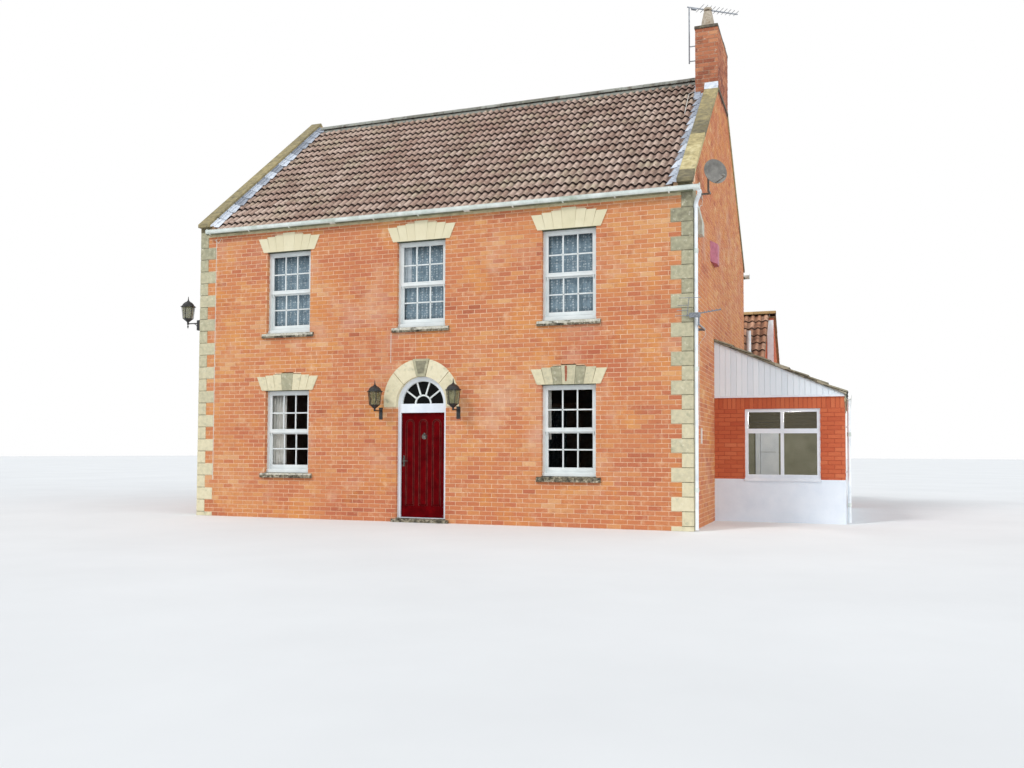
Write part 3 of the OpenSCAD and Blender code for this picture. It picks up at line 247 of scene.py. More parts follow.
def make_materials():
    """Every surface of the house by its short name."""
    m = {}
    # Wire-cut facing brick: matt and sandy, from pinkish red through orange to a yellow-orange
    m["brick"] = material("facing_brick", "#aa6042 #ba6e4c #c27850 #c98053 #cd8956 #d2945c #daaa7a", 0.92,
        grain=14, tone=0.10, patches=[("#b96446", 1500, 0.40, 0.14, 0.45), ("#dd9a45", 600, 0.22, 0.10, 0.5),
        ("#dcb9a2", 800, 0.16, 0.10, 0.5), ("#e6bd94", 150, 0.20, 0.08, 0.45),
        ("#a2583a", 190, 0.18, 0.08, 0.40)], relief=[(5, 0.7), (22, 1.2)])
    # The same brick where smoke and frost have darkened it
    m["sooty_brick"] = material("sooty_facing_brick", "#623829 #8f513b #ab6748 #bd7a57 #cd9269", 0.94,
        grain=16, tone=0.16, patches=[("#5d4638", 260, 0.20, 0.10, 0.8), ("#e2d2c0", 60, 0.14, 0.03)],
        relief=[(5, 0.9), (22, 1.6)])
    m["red_brick"] = material("red_facing_brick", "#b25235 #ba5a38 #c2623d #c76a44 #cd754e", 0.9, grain=12,
        tone=0.14, relief=[(5, 0.6), (20, 1.0)])
    # Lime-sand mortar: pale and rough
    m["mortar"] = material("pale_mortar", "#d6ab88 #e0ba98 #ebcdb0", 0.95, grain=60,
        patches=[("#c99a74", 900, 0.25, 0.12)], relief=[(4, 0.8)])
    m["old_mortar"] = material("sooty_mortar", "#96755f #ac8b74 #c1a28b", 0.95, grain=60, relief=[(4, 0.8)])
    m["dark_mortar"] = material("red_mortar", "#a0472e #ab5035 #b65b3f", 0.95, grain=60, relief=[(4, 0.8)])
    # Cast dressed stone: cream when clean, olive-grey where rain and lichen reach it
    m["stone"] = material("dressed_stone", "#6f6a58 #8f8b73 #aea98c #c6be9f #d8ceac #e3d9ba", 0.88, grain=70,
        tone=0.12, patches=[("#9a9a80", 140, 0.12, 0.10), ("#e2dcc4", 60, 0.10, 0.10)],
        relief=[(6, 0.8), (40, 1.6)])
    m["cream_stone"] = material("clean_cream_stone", "#d8ceac #dcd2b1 #e0d7b7", 0.88, grain=200, tone=0.3,
        patches=[("#c9c3a0", 260, 0.2, 0.1, 0.6)], relief=[(6, 0.6)])
    m["coping"] = material("coping_stone", "#575040 #6f6852 #8b8060 #a6976c #c0b080 #d5c89b", 0.92, grain=90,
        tone=0.16, patches=[("#6a6040", 240, 0.20, 0.10), ("#4d4634", 80, 0.10, 0.08)],
        relief=[(8, 1.2), (50, 2.5)])
    m["sill"] = material("sill_stone", "#413c2f #645d4b #8d8470 #bdb59f", 0.92, grain=40,
        patches=[("#2b281f", 120, 0.38, 0.06), ("#c9c3b0", 45, 0.14, 0.04)], relief=[(6, 1.0)])
    m["sill_top"] = material("rain_washed_sill", "#a9a492 #c4c0b0 #d5d2c5", 0.9, grain=40,
        patches=[("#3a372c", 130, 0.30, 0.06), ("#e3e0d6", 60, 0.2, 0.05)], relief=[(6, 0.8)])
    m["rust"] = material("rust_stained_stone", "#83452f #99573f #ab7459", 0.9, grain=30, relief=[(6, 0.8)])
    # Dark strips under the lintels: damp stone, and painted shade in the soffits
    m["damp"] = material("damp_mossy_stone", "#34382a #454a37 #585c45", 0.95, grain=40, relief=[(6, 0.8)])
    # Sooty cap stone; on the stack's band its dark colour is also painted shade for the dark line at the
    # stack's foot
    m["cap"] = material("sooty_cap_stone_and_band_shade", "#4b4238 #5f564a #746a5c", 0.92, grain=60,
        patches=[("#8c8468", 90, 0.2, 0.08)], relief=[(8, 1.2)])
    # Pressed concrete tiles: brown pigment worn to a pinkish grey, lichen specks, and a dark lap colour that
    # is grime and painted shade on the front edges, in the laps and in the troughs
    m["tile"] = material("brown_concrete_tile", "#9c8171 #ac9080 #ba9f8f #c6ac9c #d0b8a8", 0.9, grain=26,
        tone=0.32, patches=[("#bfb296", 500, 0.22, 0.12), ("#a47b6b", 1300, 0.22, 0.15, 0.7),
        ("#725749", 60, 0.26, 0.05, 0.85), ("#f2ecdd", 42, 0.15, 0.03)], relief=[(4, 0.6), (30, 1.2)],
        lap="#2c1d1a")
    m["ridge"] = material("lichened_ridge_tile", "#76766c #878880 #999b92", 0.95, grain=40, tone=0.2,
        patches=[("#55493d", 120, 0.3, 0.1), ("#a9a184", 50, 0.2, 0.06)], relief=[(5, 1.0)])
    # Mossy lean-to tiles: their lap colour is grime and painted shade, as on the main roof
    m["mossy_tile"] = material("mossy_roof_tile", "#827a66 #969079 #aaa28b #bab29c", 0.95, grain=40, tone=0.2,
        patches=[("#57523f", 160, 0.3, 0.1), ("#b0a684", 50, 0.15, 0.06)], relief=[(5, 1.0)], lap="#2b261e")
    # Fired clay pantiles: orange-red body, dark moss and painted shade in the laps and the troughs
    m["pantile"] = material("clay_pantile", "#9c6a4f #b78565 #c9997c #dab398", 0.88, grain=30, tone=0.3,
        patches=[("#6b4a3c", 200, 0.25, 0.1), ("#b0946e", 50, 0.12, 0.06)], relief=[(5, 0.8)], lap="#33201a")
    m["ochre_ridge"] = material("ochre_ridge_tile", "#94764c #ab8c5e #bfa176", 0.92, grain=40, tone=0.2,
        patches=[("#6e5c42", 120, 0.2, 0.1)], relief=[(5, 1.0)])
    m["pot"] = material("buff_fireclay", "#a0937f #b2a592 #c3b7a6", 0.85, grain=40,
        patches=[("#8d7253", 90, 0.15, 0.1)], relief=[(5, 0.8)])
    # Sheet lead: dull blue-grey with a chalky white bloom
    m["lead"] = material("weathered_lead", "#868c96 #a6adb8 #c6cdd7 #e2e6ec", 0.6, grain=60, tone=0.25,
        patches=[("#80868f", 140, 0.18, 0.08)], relief=[(30, 2.0)])
    # Gloss-painted timber and extruded plastic: clean and smooth, with a dark film under the gutters that is
    # algae and painted shade
    m["frame"] = material("white_window_paint", "#d5dad9 #dee3e1 #e6eae8", 0.3, grain=300,
        relief=[(60, 0.15)])
    m["white_frame"] = material("white_plastic_frame", "#dbe2ea #e4eaf1 #ecf1f6", 0.3, grain=300,
        relief=[(60, 0.15)])
    # A dark film under the gutters: algae, and painted shade on their undersides
    m["grime"] = material("algae_film_and_painted_shade", "#565c49 #6d735d #878c74", 0.7, grain=150)
    m["gutter"] = material("gutter_plastic", "#c3ccc4 #d5dcd5 #e6ebe6", 0.4, grain=240,
        patches=[("#9dab98", 300, 0.16, 0.12)])
    m["pipe"] = material("pipe_plastic", "#dde3e6 #eef2f4 #f7f9fa", 0.35, grain=240)
    m["fascia"] = material("cream_fascia_paint", "#b9ad86 #cbc09b #d6cca9", 0.6, grain=120,
        patches=[("#8d8364", 150, 0.15, 0.1)], relief=[(8, 0.4)])
    m["cladding"] = material("plastic_cladding_board", "#e0ecf4 #e6f1f8 #ebf5fb", 0.4, grain=500, tone=0.2)
    m["render"] = material("painted_render", "#dde7f1 #e3ecf5 #e8f0f8", 0.85, grain=400,
        relief=[(8, 1.2), (60, 2.0)])
    m["plaster"] = material("painted_plaster", "#8c8b77 #989783 #a2a18e", 0.9, grain=400)
    # Oil paint on a panelled door: deep oxblood red with a soft gloss, the beads paler as a painted highlight
    m["door"] = material("oxblood_gloss_paint", "#4c0206 #5c0308 #6b050a", (0.25, 0.38), grain=160,
        relief=[(12, 0.2)], **{"Specular IOR Level": 0.02})
    m["bead"] = material("paler_oxblood_highlight_paint", "#561613 #6a2823 #7c3b33", 0.35, grain=90,
        **{"Specular IOR Level": 0.2})
    m["brass"] = material("aged_brass", "#57502f #75683c #94824e", (0.3, 0.5), grain=30, Metallic=1.0)
    m["iron"] = material("black_painted_iron", "#121213 #1f1f20 #2d2d2b", (0.4, 0.6), grain=25,
        relief=[(5, 0.3)])
    m["pewter"] = material("dull_pewter", "#2a2a2a #55534e #8b8880", (0.3, 0.5), grain=35, Metallic=0.8)
    m["amber"] = material("amber_lantern_glass", "#5f5e42 #7c7a56 #9d9a74", 0.12, grain=60, Alpha=0.45)
    m["dish"] = material("grey_dish_paint", "#67655f #78756f #8a877f", 0.5, grain=120,
        patches=[("#55534e", 200, 0.2, 0.1)])
    m["aerial"] = material("dull_aluminium", "#6a6e74 #80858c #989da3", (0.35, 0.5), grain=20, Metallic=0.9)
    m["hood"] = material("grey_plastic_hood", "#aaa899 #bdbbab #c9c7b8", 0.6, grain=90)
    m["alarm"] = material("pink_alarm_plastic", "#9c4558 #ad5468 #ba6577", 0.45, grain=90)
    m["cable"] = material("white_cable_sheath", "#d5d2c8 #e6e4dc", 0.5, grain=60)
    m["dark_boards"] = material("olive_stained_boards", "#4a4531 #5c5540 #6f6650", 0.6, grain=70, tone=0.2)
    m["floor"] = material("screed_floor", "#7d7a74 #8f8c86 #9c9993", 0.9, grain=150, relief=[(10, 0.5)])
    m["boards"] = material("floor_boards", "#7a5f40 #927350 #a38460", 0.6, grain=90)
    # Float glass: almost clear, dark where the room behind it is dark
    m["glass"] = material("window_glass", "#0d1114 #12181c", 0.03, grain=900, Alpha=0.10,
        **{"Specular IOR Level": 0.3})
    m["dim_glass"] = material("dark_window_glass", "#060708 #0b0d0e", 0.03, grain=900, Alpha=0.12,
        **{"Specular IOR Level": 0.04})
    m["fanlight"] = material("dark_fanlight_glass", "#050607 #0b0d0f", 0.04, grain=900, Alpha=0.9,
        **{"Specular IOR Level": 0.1})
    m["net"] = material("patterned_net", "#879daa #93a9b5 #9fb4bf", 0.9, grain=90,
        patches=[("#7a909d", 60, 0.20, 0.05)], dots=("#d8e4e9", 46))
    m["white_cloth"] = material("white_curtain_cloth", "#cdd8df #dbe4e9 #e6edf0", 0.9, grain=60)
    m["curtain"] = material("pale_curtain_cloth", "#dcdad0 #e8e6dd #f1efe8", 0.9, grain=60)
    return m


# ---------------------------------------------------------------- mesh helpers

class Pile:
    """Gathers closed solids, each with its own tone from 0 to 1, and writes them as one mesh."""

    def __init__(self):
        self.points, self.faces, self.tones = [], [], []

    def take(self, bm, tone):
        bmesh.ops.recalc_face_normals(bm, faces=bm.faces)
        start = len(self.points)
        bm.verts.index_update()
        self.points += [v.co.copy() for v in bm.verts]
        self.faces += [[start + v.index for v in f.verts] for f in bm.faces]
        self.tones += [tone] * len(bm.verts)
        bm.free()

    def prism(self, outline, place, d0, d1, tone=0.5, bevel=0.0):
        """The outline drawn out from d0 to d1, where place turns (a, b, d) into a point."""
        bm = bmesh.new()
        one = [bm.verts.new(place(a, b, d0)) for a, b in outline]
        two = [bm.verts.new(place(a, b, d1)) for a, b in outline]
        bm.faces.new(one)
        bm.faces.new(two[::-1])
        for i in range(len(one)):
            j = (i + 1) % len(one)
            bm.faces.new((one[j], one[i], two[i], two[j]))
        if bevel:
            bmesh.ops.bevel(bm, geom=list(bm.edges), offset=bevel, segments=1, profile=0.5, affect="EDGES",
                            clamp_overlap=True)
        self.take(bm, tone)

    def ribbon(self, path, width, place, d0, d1, tone=0.5, closed=False):
        """A band of this width laid along a path of (a, b) points, from depth d0 to d1."""
        bm, n, rings = bmesh.new(), len(path), []
        for i, (a, b) in enumerate(path):
            before = path[i - 1] if closed or i else path[i]
            after = path[(i + 1) % n] if closed or i < n - 1 else path[i]
            run = Vector((after[0] - before[0], after[1] - before[1])).normalized() * width / 2
            spots = ((run.y, -run.x, d0), (-run.y, run.x, d0), (-run.y, run.x, d1), (run.y, -run.x, d1))
            rings.append([bm.verts.new(place(a + u, b + v, d)) for u, v, d in spots])
        for one, two in zip(rings, rings[1:] + ([rings[0]] if closed else [])):
            for i in range(4):
                j = (i + 1) % 4
                bm.faces.new((one[i], one[j], two[j], two[i]))
        if not closed:
            bm.faces.new(rings[0])
            bm.faces.new(rings[-1][::-1])
        self.take(bm, tone)

    def box(self, x0, x1, y0, y1, z0, z1, tone=0.5, bevel=0.0):
        self.prism([(x0, y0), (x1, y0), (x1, y1), (x0, y1)], flat_xy, z0, z1, tone, bevel)

    def turned(self, x, y, z, levels, sides=24):
        """A round shape standing at this point, whose levels are (radius, height) from its foot up."""
        ring = arc(1.0, 0, 360 - 360 / sides, sides - 1)
        for foot, top in zip(levels, levels[1:]):
            def place(a, b, d, ends=(foot, top)):
                radius, height = ends[d]
                return (x + a * radius, y + b * radius, z + height)
            self.prism(ring, place, 0, 1)

    def mesh(self, name):
        data = bpy.data.meshes.new(name)
        data.from_pydata(self.points, [], self.faces)
        data.attributes.new("tone", "FLOAT", "POINT").data.foreach_set("value", self.tones)
        data.update()
        return data

    def piece(self, name, surface, slot, *stands_for, body="house"):
        """Puts the gathered solids in the scene as one piece."""
        return piece(name, self.mesh(name), surface, stands_for, body)


def flat_xy(a, b, d):
    return (a, b, d)


def flat_xz(a, b, d):
    return (a, d, b)


def flat_yz(a, b, d):
    return (d, a, b)


def arc(radius, start, stop, steps, a=0.0, b=0.0):
    """Points of an arc round (a, b), with its angles in degrees."""
    turns = [math.radians(start + (stop - start) * i / steps) for i in range(steps + 1)]
    return [(a + radius * math.cos(t), b + radius * math.sin(t)) for t in turns]


def band(start, stop, height, low, top):
    """Section of a layer from start to stop, lying between low and top over the line height(a)."""
    return [(start, height(start) + low), (stop, height(stop) + low),
            (stop, height(stop) + top), (start, height(start) + top)]


def piece(name, data, surface, stands_for=(), body="house"):
    """Puts a finished mesh in the scene as a piece of one body, with its surface."""
    made = in_scene(name, data)
    made.data.materials.clear()
    made.data.materials.append(surface)
    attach(made, body)
    if stands_for:
        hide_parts(*stands_for)
    return made


def dress(surface, *names):
    """Gives the surface to the solids of these nodes."""
    for name in names:
        for s in NODES[name].material_slots:
            s.link = "OBJECT"
            s.material = surface


def geometry_result(tree, host_mesh, inputs, name):
    """Runs a Geometry Nodes tree on a mesh and gives back the plain mesh that comes out."""
    host = in_scene(name, host_mesh)
    modifier = host.modifiers.new("nodes", "NODES")
    modifier.node_group = tree
    for item in tree.interface.items_tree:
        if item.item_type == "SOCKET" and item.in_out == "INPUT" and item.name in inputs:
            modifier[item.identifier] = inputs[item.name]
    ready = host.evaluated_get(bpy.context.evaluated_depsgraph_get())
    result = bpy.data.meshes.new_from_object(ready)
    host.modifiers.remove(modifier)
    bpy.data.objects.remove(host)
    result.name = name
    return result


def hidden_unit(name, data):
    """An object outside the scene, which a tree repeats."""
    return bpy.data.objects.new(name, data)


# ---------------------------------------------------------------- brickwork

def brick_unit():
    """One brick lying with its face at y = -4 mm, arrises worn, its back sunk in the wall."""
    w, h, c, front, back = BRICK, COURSE - JOINT, 0.003, -0.004, 0.010
    bm = bmesh.new()
    rings = []
    for inset, y in ((c, front), (0.0, front + c), (0.0, back)):
        corners = ((inset, inset), (w - inset, inset), (w - inset, h - inset), (inset, h - inset))
        rings.append([bm.verts.new((x, y, z)) for x, z in corners])
    bm.faces.new(rings[0])
    bm.faces.new(rings[2][::-1])
    for a, b in zip(rings, rings[1:]):
        for i in range(4):
            bm.faces.new((a[(i + 1) % 4], a[i], b[i], b[(i + 1) % 4]))
    bmesh.ops.recalc_face_normals(bm, faces=bm.faces)
    data = bpy.data.meshes.new("brick_unit")
    bm.to_mesh(data)
    bm.free()
    return data


def node_tree(name, inputs, output):
    """A Geometry Nodes tree with these inputs, each a name and a kind, and one output."""
    tree = bpy.data.node_groups.new(name, "GeometryNodeTree")
    for label, kind in inputs.items():
        tree.interface.new_socket(label, in_out="INPUT", socket_type="NodeSocket" + kind)
    tree.interface.new_socket(output, in_out="OUTPUT", socket_type="NodeSocketGeometry")
    return tree, add(tree, "NodeGroupInput").outputs


def repeat_unit(tree, put, unit, points, turn, size=(1.0, 1.0, 1.0)):
    """Ends a tree: the unit on every point, made into plain meshes with their surface."""
    unit = add(tree, "GeometryNodeObjectInfo", {"Object": unit})
    laid = add(tree, "GeometryNodeInstanceOnPoints",
               {"Points": points, "Instance": unit.outputs["Geometry"], "Rotation": turn, "Scale": size})
    plain = add(tree, "GeometryNodeRealizeInstances", {0: laid})
    coat = add(tree, "GeometryNodeSetMaterial", {0: plain, "Material": put["Surface"]})
    add(tree, "NodeGroupOutput", {0: coat})


def brick_tree():
    """Lays the unit on each point, stretched and turned as the point's own values say."""
    tree, put = node_tree("laid_bricks", {"Places": "Geometry", "Brick": "Object", "Surface": "Material"},
                          "Wall")
    size, turn = (add(tree, "GeometryNodeInputNamedAttribute", {"Name": name}, data_type="FLOAT_VECTOR")
                  for name in ("size", "turn"))
    repeat_unit(tree, put, put["Brick"], put["Places"], turn, size)
    return tree


class Brickwork:
    """Works out where the bricks of one piece of walling lie."""

    def __init__(self, seed):
        self.rng = random.Random(seed)
        self.at, self.size, self.turn, self.tone = [], [], [], []

    def course_bricks(self, origin, angle, u0, u1, z, odd, cut=1.0):
        step = BRICK + JOINT
        first = math.floor(u0 / step) - 1
        for n in range(first, math.ceil(u1 / step) + 1):
            a = n * step + (step / 2 if odd else 0.0)
            b = a + BRICK
            a, b = max(a, u0), min(b, u1)
            if b - a < 0.022:
                continue
            half = (BRICK - JOINT) / 2
            parts = [(a, b)]
            if b - a == BRICK and self.rng.random() < 0.08:
                parts = [(a, a + half), (b - half, b)]
            for start, end in parts:
                self.lay(origin, angle, start, z, (end - start) / BRICK, cut)

    def lay(self, origin, angle, along, z, length, height):
        """One brick. Its tone drifts slowly over the wall, so that batches of brick show."""
        run = Vector((math.cos(angle), math.sin(angle), 0.0))
        inward = Vector((-math.sin(angle), math.cos(angle), 0.0))
        spot = origin + run * along + inward * self.rng.uniform(-0.0012, 0.0012) + Vector((0, 0, z))
        drift = 0.30 * noise.noise(spot * 0.9) + 0.22 * noise.noise(spot * Vector((1.0, 1.0, 3.0)) * 1.7)
        self.at.append(spot)
        self.size.append((length, 1.0, height))
        self.turn.append((0.0, 0.0, angle))
        self.tone.append(min(1.0, max(0.0, self.rng.gauss(0.52, 0.15) + drift)))

    def wall(self, origin, angle, low, high, ends, gaps=(), base=-0.0005):
        """Lays courses from low to high. ends(z) gives the two ends of the wall at a height, and each
        of gaps gives (start, end) of a break at a height, or None."""
        origin = Vector(origin)
        for k in range(int((low - base) // COURSE), int((high - base) // COURSE) + 1):
            z = base + k * COURSE + JOINT / 2
            top = z + COURSE - JOINT
            if top < low + 0.02 or z > high - 0.02:
                continue
            z0, z1 = max(z, low), min(top, high)
            free = [ends(z0)]
            for gap in gaps:
                cut = gap(z0, z1)
                if not cut:
                    continue
                parts = []
                for a, b in free:
                    if cut[1] <= a or cut[0] >= b:
                        parts.append((a, b))
                        continue
                    if cut[0] > a:
                        parts.append((a, cut[0]))
                    if cut[1] < b:
                        parts.append((cut[1], b))
                free = parts
            for a, b in free:
                if b - a > 0.02:
                    self.course_bricks(origin, angle, a, b, z0, k % 2, (z1 - z0) / (COURSE - JOINT))

    def mesh(self, tree, unit, surface, name):
        data = bpy.data.meshes.new(name)
        data.from_pydata(self.at, [], [])
        for key, kind, values in (("size", "FLOAT_VECTOR", self.size), ("turn", "FLOAT_VECTOR", self.turn)):
            data.attributes.new(key, kind, "POINT").data.foreach_set("vector", [c for v in values for c in v])
        data.attributes.new("tone", "FLOAT", "POINT").data.foreach_set("value", self.tone)
        return geometry_result(tree, data, {"Brick": unit, "Surface": surface}, name)


def opening(u0, u1, z0, z1):
    """A break with upright sides."""
    return lambda a, b: (u0, u1) if b > z0 + 0.004 and a < z1 - 0.004 else None


def quoin_break(side, sign, wide_when_odd):
    """The stones of a corner, alternately wide and narrow. Bricks run 4 mm under them."""
    def gap(a, b):
        k = math.floor(((a + b) / 2 - QUOIN_BASE + 0.005) / (3 * COURSE))
        wide = QUOIN_LONG if (k % 2 == 1) == wide_when_odd else QUOIN_SHORT
        return (side - 1, side + wide) if sign > 0 else (side - wide, side + 1)
    return gap


def lintel_break(u, z, rises):
    """The splayed stone over a window. Bricks run a little way under it."""
    def gap(a, b):
        mid = (a + b) / 2 - z
        if not 0.0 < mid < rises[0]:
            return None
        if mid < rises[3]:
            half = 0.553 + 0.114 * mid / rises[3]
        else:
            half = 0.478 if mid < rises[2] else 0.31 if mid < rises[1] else 0.13
        return (u - half + UNDER_STONE, u + half - UNDER_STONE)
    return gap


def arch_break(a, b):
    """The stone arch, with the bricks running a little way under it."""
    mid = (a + b) / 2
    if mid < SPRING:
        return None
    up = max(0.0, mid - ARCH_Z)
    reach = DOOR_R + ARCH_T
    if up >= reach - 0.01:
        return None
    half = math.sqrt(reach ** 2 - up ** 2) - UNDER_STONE
    return (-half, half)


def jamb_bricks(work, u, z0, z1, outward, y, face_right, depth):
    """The ends of the bricks that show in the side of an opening in the front or rear."""
    angle = math.radians(90 if face_right else -90)
    start = (y if outward < 0 else y - depth) if face_right else (-y - depth if outward < 0 else -y)
    first, last = (-0.0035, -0.002) if (outward < 0) == face_right else (0.002, 0.0035)
    ends = (start + first, start + depth + last)
    work.wall((u, 0, 0), angle, z0, z1, lambda z: ends)


def window_opening(x, z):
    return opening(x - WIN_W / 2, x + WIN_W / 2, z, z + WIN_H)


def window_jambs(work, x, z, outward, wall_y):
    """The ends of the bricks in both sides of a window's opening."""
    for u, face_right in ((x - WIN_W / 2, True), (x + WIN_W / 2, False)):
        jamb_bricks(work, u, z, z + WIN_H, outward, wall_y, face_right, REVEAL)


def gable_ends(z):
    reach = min(HD, (RIDGE + SEAT_UP - z) / FALL)
    return (-reach, reach)


def front_bricks():
    work, step_top, door_deep = Brickwork(11), 0.07, 0.060
    gaps = [quoin_break(-HW, 1, True), quoin_break(HW, -1, True),
            opening(-DOOR_R, DOOR_R, 0.0, ARCH_Z), arch_break]
    for x, z in FRONT_WINDOWS:
        rises = UPPER_RISES if z == UP_Z else LOWER_RISES
        gaps += [window_opening(x, z), lintel_break(x, z + WIN_H, rises)]
    work.wall((0, -HD, 0), 0.0, 0.0, EAVE_BRICKS, lambda z: (-HW, HW), gaps)
    for x, z in FRONT_WINDOWS:
        window_jambs(work, x, z, -1, -HD)
    for u, face_right in ((-DOOR_R, True), (DOOR_R, False)):
        jamb_bricks(work, u, step_top, SPRING, -1, -HD, face_right, door_deep)
    return work


def right_gable_bricks():
    """The gable over the extension, with a break where the stack's own bricks begin."""
    work = Brickwork(12)
    extension = lambda a, b: (EXT_FRONT, HD + 1) if (a + b) / 2 < EXT_TOP - 0.03 else None
    stack = lambda a, b: (STACK_F, STACK_B) if a > STACK_FOOT else None
    work.wall((HW, 0, 0), FACES_RIGHT, 0.0, GABLE_BRICKS, gable_ends,
              [quoin_break(-HD, 1, False), extension, stack])
    return work


def left_gable_bricks():
    work = Brickwork(13)
    work.wall((-HW, 0, 0), FACES_LEFT, 0.0, GABLE_BRICKS, gable_ends, [quoin_break(HD, -1, False)])
    return work


def rear_bricks():
    """The rear wall, with a break where the wing's low link meets it."""
    work = Brickwork(14)
    gaps = [window_opening(-x, z) for x, z in REAR_WINDOWS]
    gaps.append(lambda a, b: (-LINK_R, -WING_L) if b < wing_z(WING_F) - 0.11 else None)
    work.wall((0, HD, 0), FACES_BACK, 0.0, EAVE_BRICKS, lambda z: (-HW, HW), gaps)
    for x, z in REAR_WINDOWS:
        window_jambs(work, x, z, 1, HD)
    return work


def stack_bricks():
    """The four sides of the stack, which stands proud of the gable over its stone band."""
    work, under_tiles, band_low, band_top = Brickwork(15), 8.0, 8.285, 8.35
    work.wall((0, STACK_F, 0), 0.0, under_tiles, STACK_TOP,
              lambda z: (STACK_L, STACK_R if z > band_top else HW))
    work.wall((0, STACK_B, 0), FACES_BACK, under_tiles, STACK_TOP,
              lambda z: (-STACK_R if z > band_top else -HW, -STACK_L))
    work.wall((STACK_L, 0, 0), FACES_LEFT, under_tiles, STACK_TOP, lambda z: (-STACK_B, -STACK_F))
    work.wall((STACK_R, 0, 0), FACES_RIGHT, band_top, STACK_TOP, lambda z: (STACK_F, STACK_B))
    work.wall((HW, 0, 0), FACES_RIGHT, STACK_FOOT, band_low, lambda z: (STACK_F, STACK_B))
    return work


def extension_bricks():
    """The lean-to over its plinth, with a row of bricks on end over the window."""
    work, plinth, head, head_joint = Brickwork(16), 0.70, EXT_WIN[3], 0.003
    grid = head - 27 * COURSE
    hole = opening(EXT_WIN[0], EXT_WIN[1], EXT_WIN[2] - 0.058, head)
    work.wall((0, EXT_FRONT, 0), 0.0, plinth, head, lambda z: (HW + 0.004, EXT_R), [hole], grid)
    count = int((EXT_R - HW) / COURSE)
    for i in range(count):
        work.lay(Vector((0, EXT_FRONT, 0)), 0.0, HW + 0.007 + i * (EXT_R - HW) / count, head + head_joint,
                 (COURSE - JOINT) / BRICK, BRICK / (COURSE - JOINT))
    work.wall((EXT_R, 0, 0), FACES_RIGHT, plinth, 2.21, lambda z: (EXT_FRONT, HD), (), grid)
    slope = lambda z: HW + (EXT_TOP - 0.08 - z) / EXT_FALL
    work.wall((0, HD, 0), FACES_BACK, 0.0, 3.3, lambda z: (-min(EXT_R, slope(z)), -HW), (), grid)
    for x, to_right in ((EXT_WIN[0], True), (EXT_WIN[1], False)):
        jamb_bricks(work, x, EXT_WIN[2], head, -1, EXT_FRONT, to_right, 0.022)
    return work


def wing_bricks():
    """The rear wing: its low link to the house, and the walls under its pitched roof."""
    work, roof_deep = Brickwork(17), 0.15
    link_top = wing_z(WING_F) - roof_deep
    step_y = WING_RIDGE_Y - 0.045
    rake = lambda z: (WING_RIDGE - roof_deep - z) / WING_FALL
    rise = lambda z: max(WING_F, WING_RIDGE_Y - rake(z))
    fall = lambda z: min(WING_B, WING_RIDGE_Y + rake(z))
    work.wall((0, WING_B, 0), FACES_BACK, 0.0, wing_z(WING_B) - roof_deep,
              lambda z: (-(WING_R + WING_STEP), -WING_L), [window_opening(-x, z) for x, z in WING_WINDOWS])
    work.wall((0, WING_F, 0), 0.0, 0.0, link_top, lambda z: (LINK_R, WING_R))
    work.wall((LINK_R, 0, 0), FACES_RIGHT, 0.0, link_top, lambda z: (HD, WING_F))
    work.wall((WING_R, 0, 0), FACES_RIGHT, 0.0, 4.6, lambda z: (rise(z), step_y))
    work.wall((WING_R + WING_STEP, 0, 0), FACES_RIGHT, 0.0, 4.68, lambda z: (step_y, fall(z)))
    work.wall((WING_L, 0, 0), FACES_LEFT, 0.0, 4.68, lambda z: (-fall(z), -(HD if z < link_top else rise(z))))
    for x, z in WING_WINDOWS:
        window_jambs(work, x, z, 1, WING_B)
    return work


def lay_house(m):
    """Every brick that shows, as one piece for each wall or part of the house."""
    tree, unit = brick_tree(), hidden_unit("brick_unit", brick_unit())
    for part, bricks, surface, slot in (("front", front_bricks, "brick", "brick"),
                                        ("right_gable", right_gable_bricks, "brick", "brick"),
                                        ("left_gable", left_gable_bricks, "brick", "brick"),
                                        ("rear", rear_bricks, "brick", "brick"),
                                        ("chimney", stack_bricks, "sooty_brick", "brick"),
                                        ("extension", extension_bricks, "red_brick", "red_brick"),
                                        ("wing", wing_bricks, "red_brick", "red_brick")):
        name = part + "_brickwork"
        piece(name, bricks().mesh(tree, unit, m[surface], name), m[surface])


# ---------------------------------------------------------------- roofs

def roll_tile(pitch, rolls, length, gauge, thick, lift, height):
    """A tile with rolls across its width. It lies in XY with its lower edge at y = 0, raised by lift.
    Its lap value is 1 on the front edge and where the next row covers it, and partly so in the troughs,
    for grime and shadow."""
    per = 7
    line = [(pitch * (r + i / per), height * math.sin(math.pi * max(0.0, i / per - 0.24) / 0.76))
            for r in range(rolls) for i in range(per)]
    line.append((pitch * rolls, 0.0))
    bm = bmesh.new()
    lap = bm.verts.layers.float.new("lap")
    rows = []
    for y, down, covered in ((0.0, thick, 1.0), (0.0, 0.0, 0.9), (0.012, 0.0, 0.0), (gauge - 0.05, 0.0, 0.0),
                             (gauge - 0.012, 0.0, 0.85), (length, 0.0, 1.0), (length, thick, 1.0)):
        rows.append([bm.verts.new((x, y, lift * (1 - y / length) + z - down)) for x, z in line])
        # Grime and painted shade: full on the front edge and under the next row, partial in the troughs
        for v, (x, z) in zip(rows[-1], line):
            v[lap] = max(covered, 0.48 * (1 - min(1.0, z / (0.8 * height))))
    for one, two in zip(rows, rows[1:] + rows[:1]):
        for i in range(len(line) - 1):
            bm.faces.new((one[i], one[i + 1], two[i + 1], two[i]))
    for end in (0, -1):
        bm.faces.new([row[end] for row in rows])
    bmesh.ops.recalc_face_normals(bm, faces=bm.faces)
    data = bpy.data.meshes.new("roll_tile")
    bm.to_mesh(data)
    bm.free()
    return data


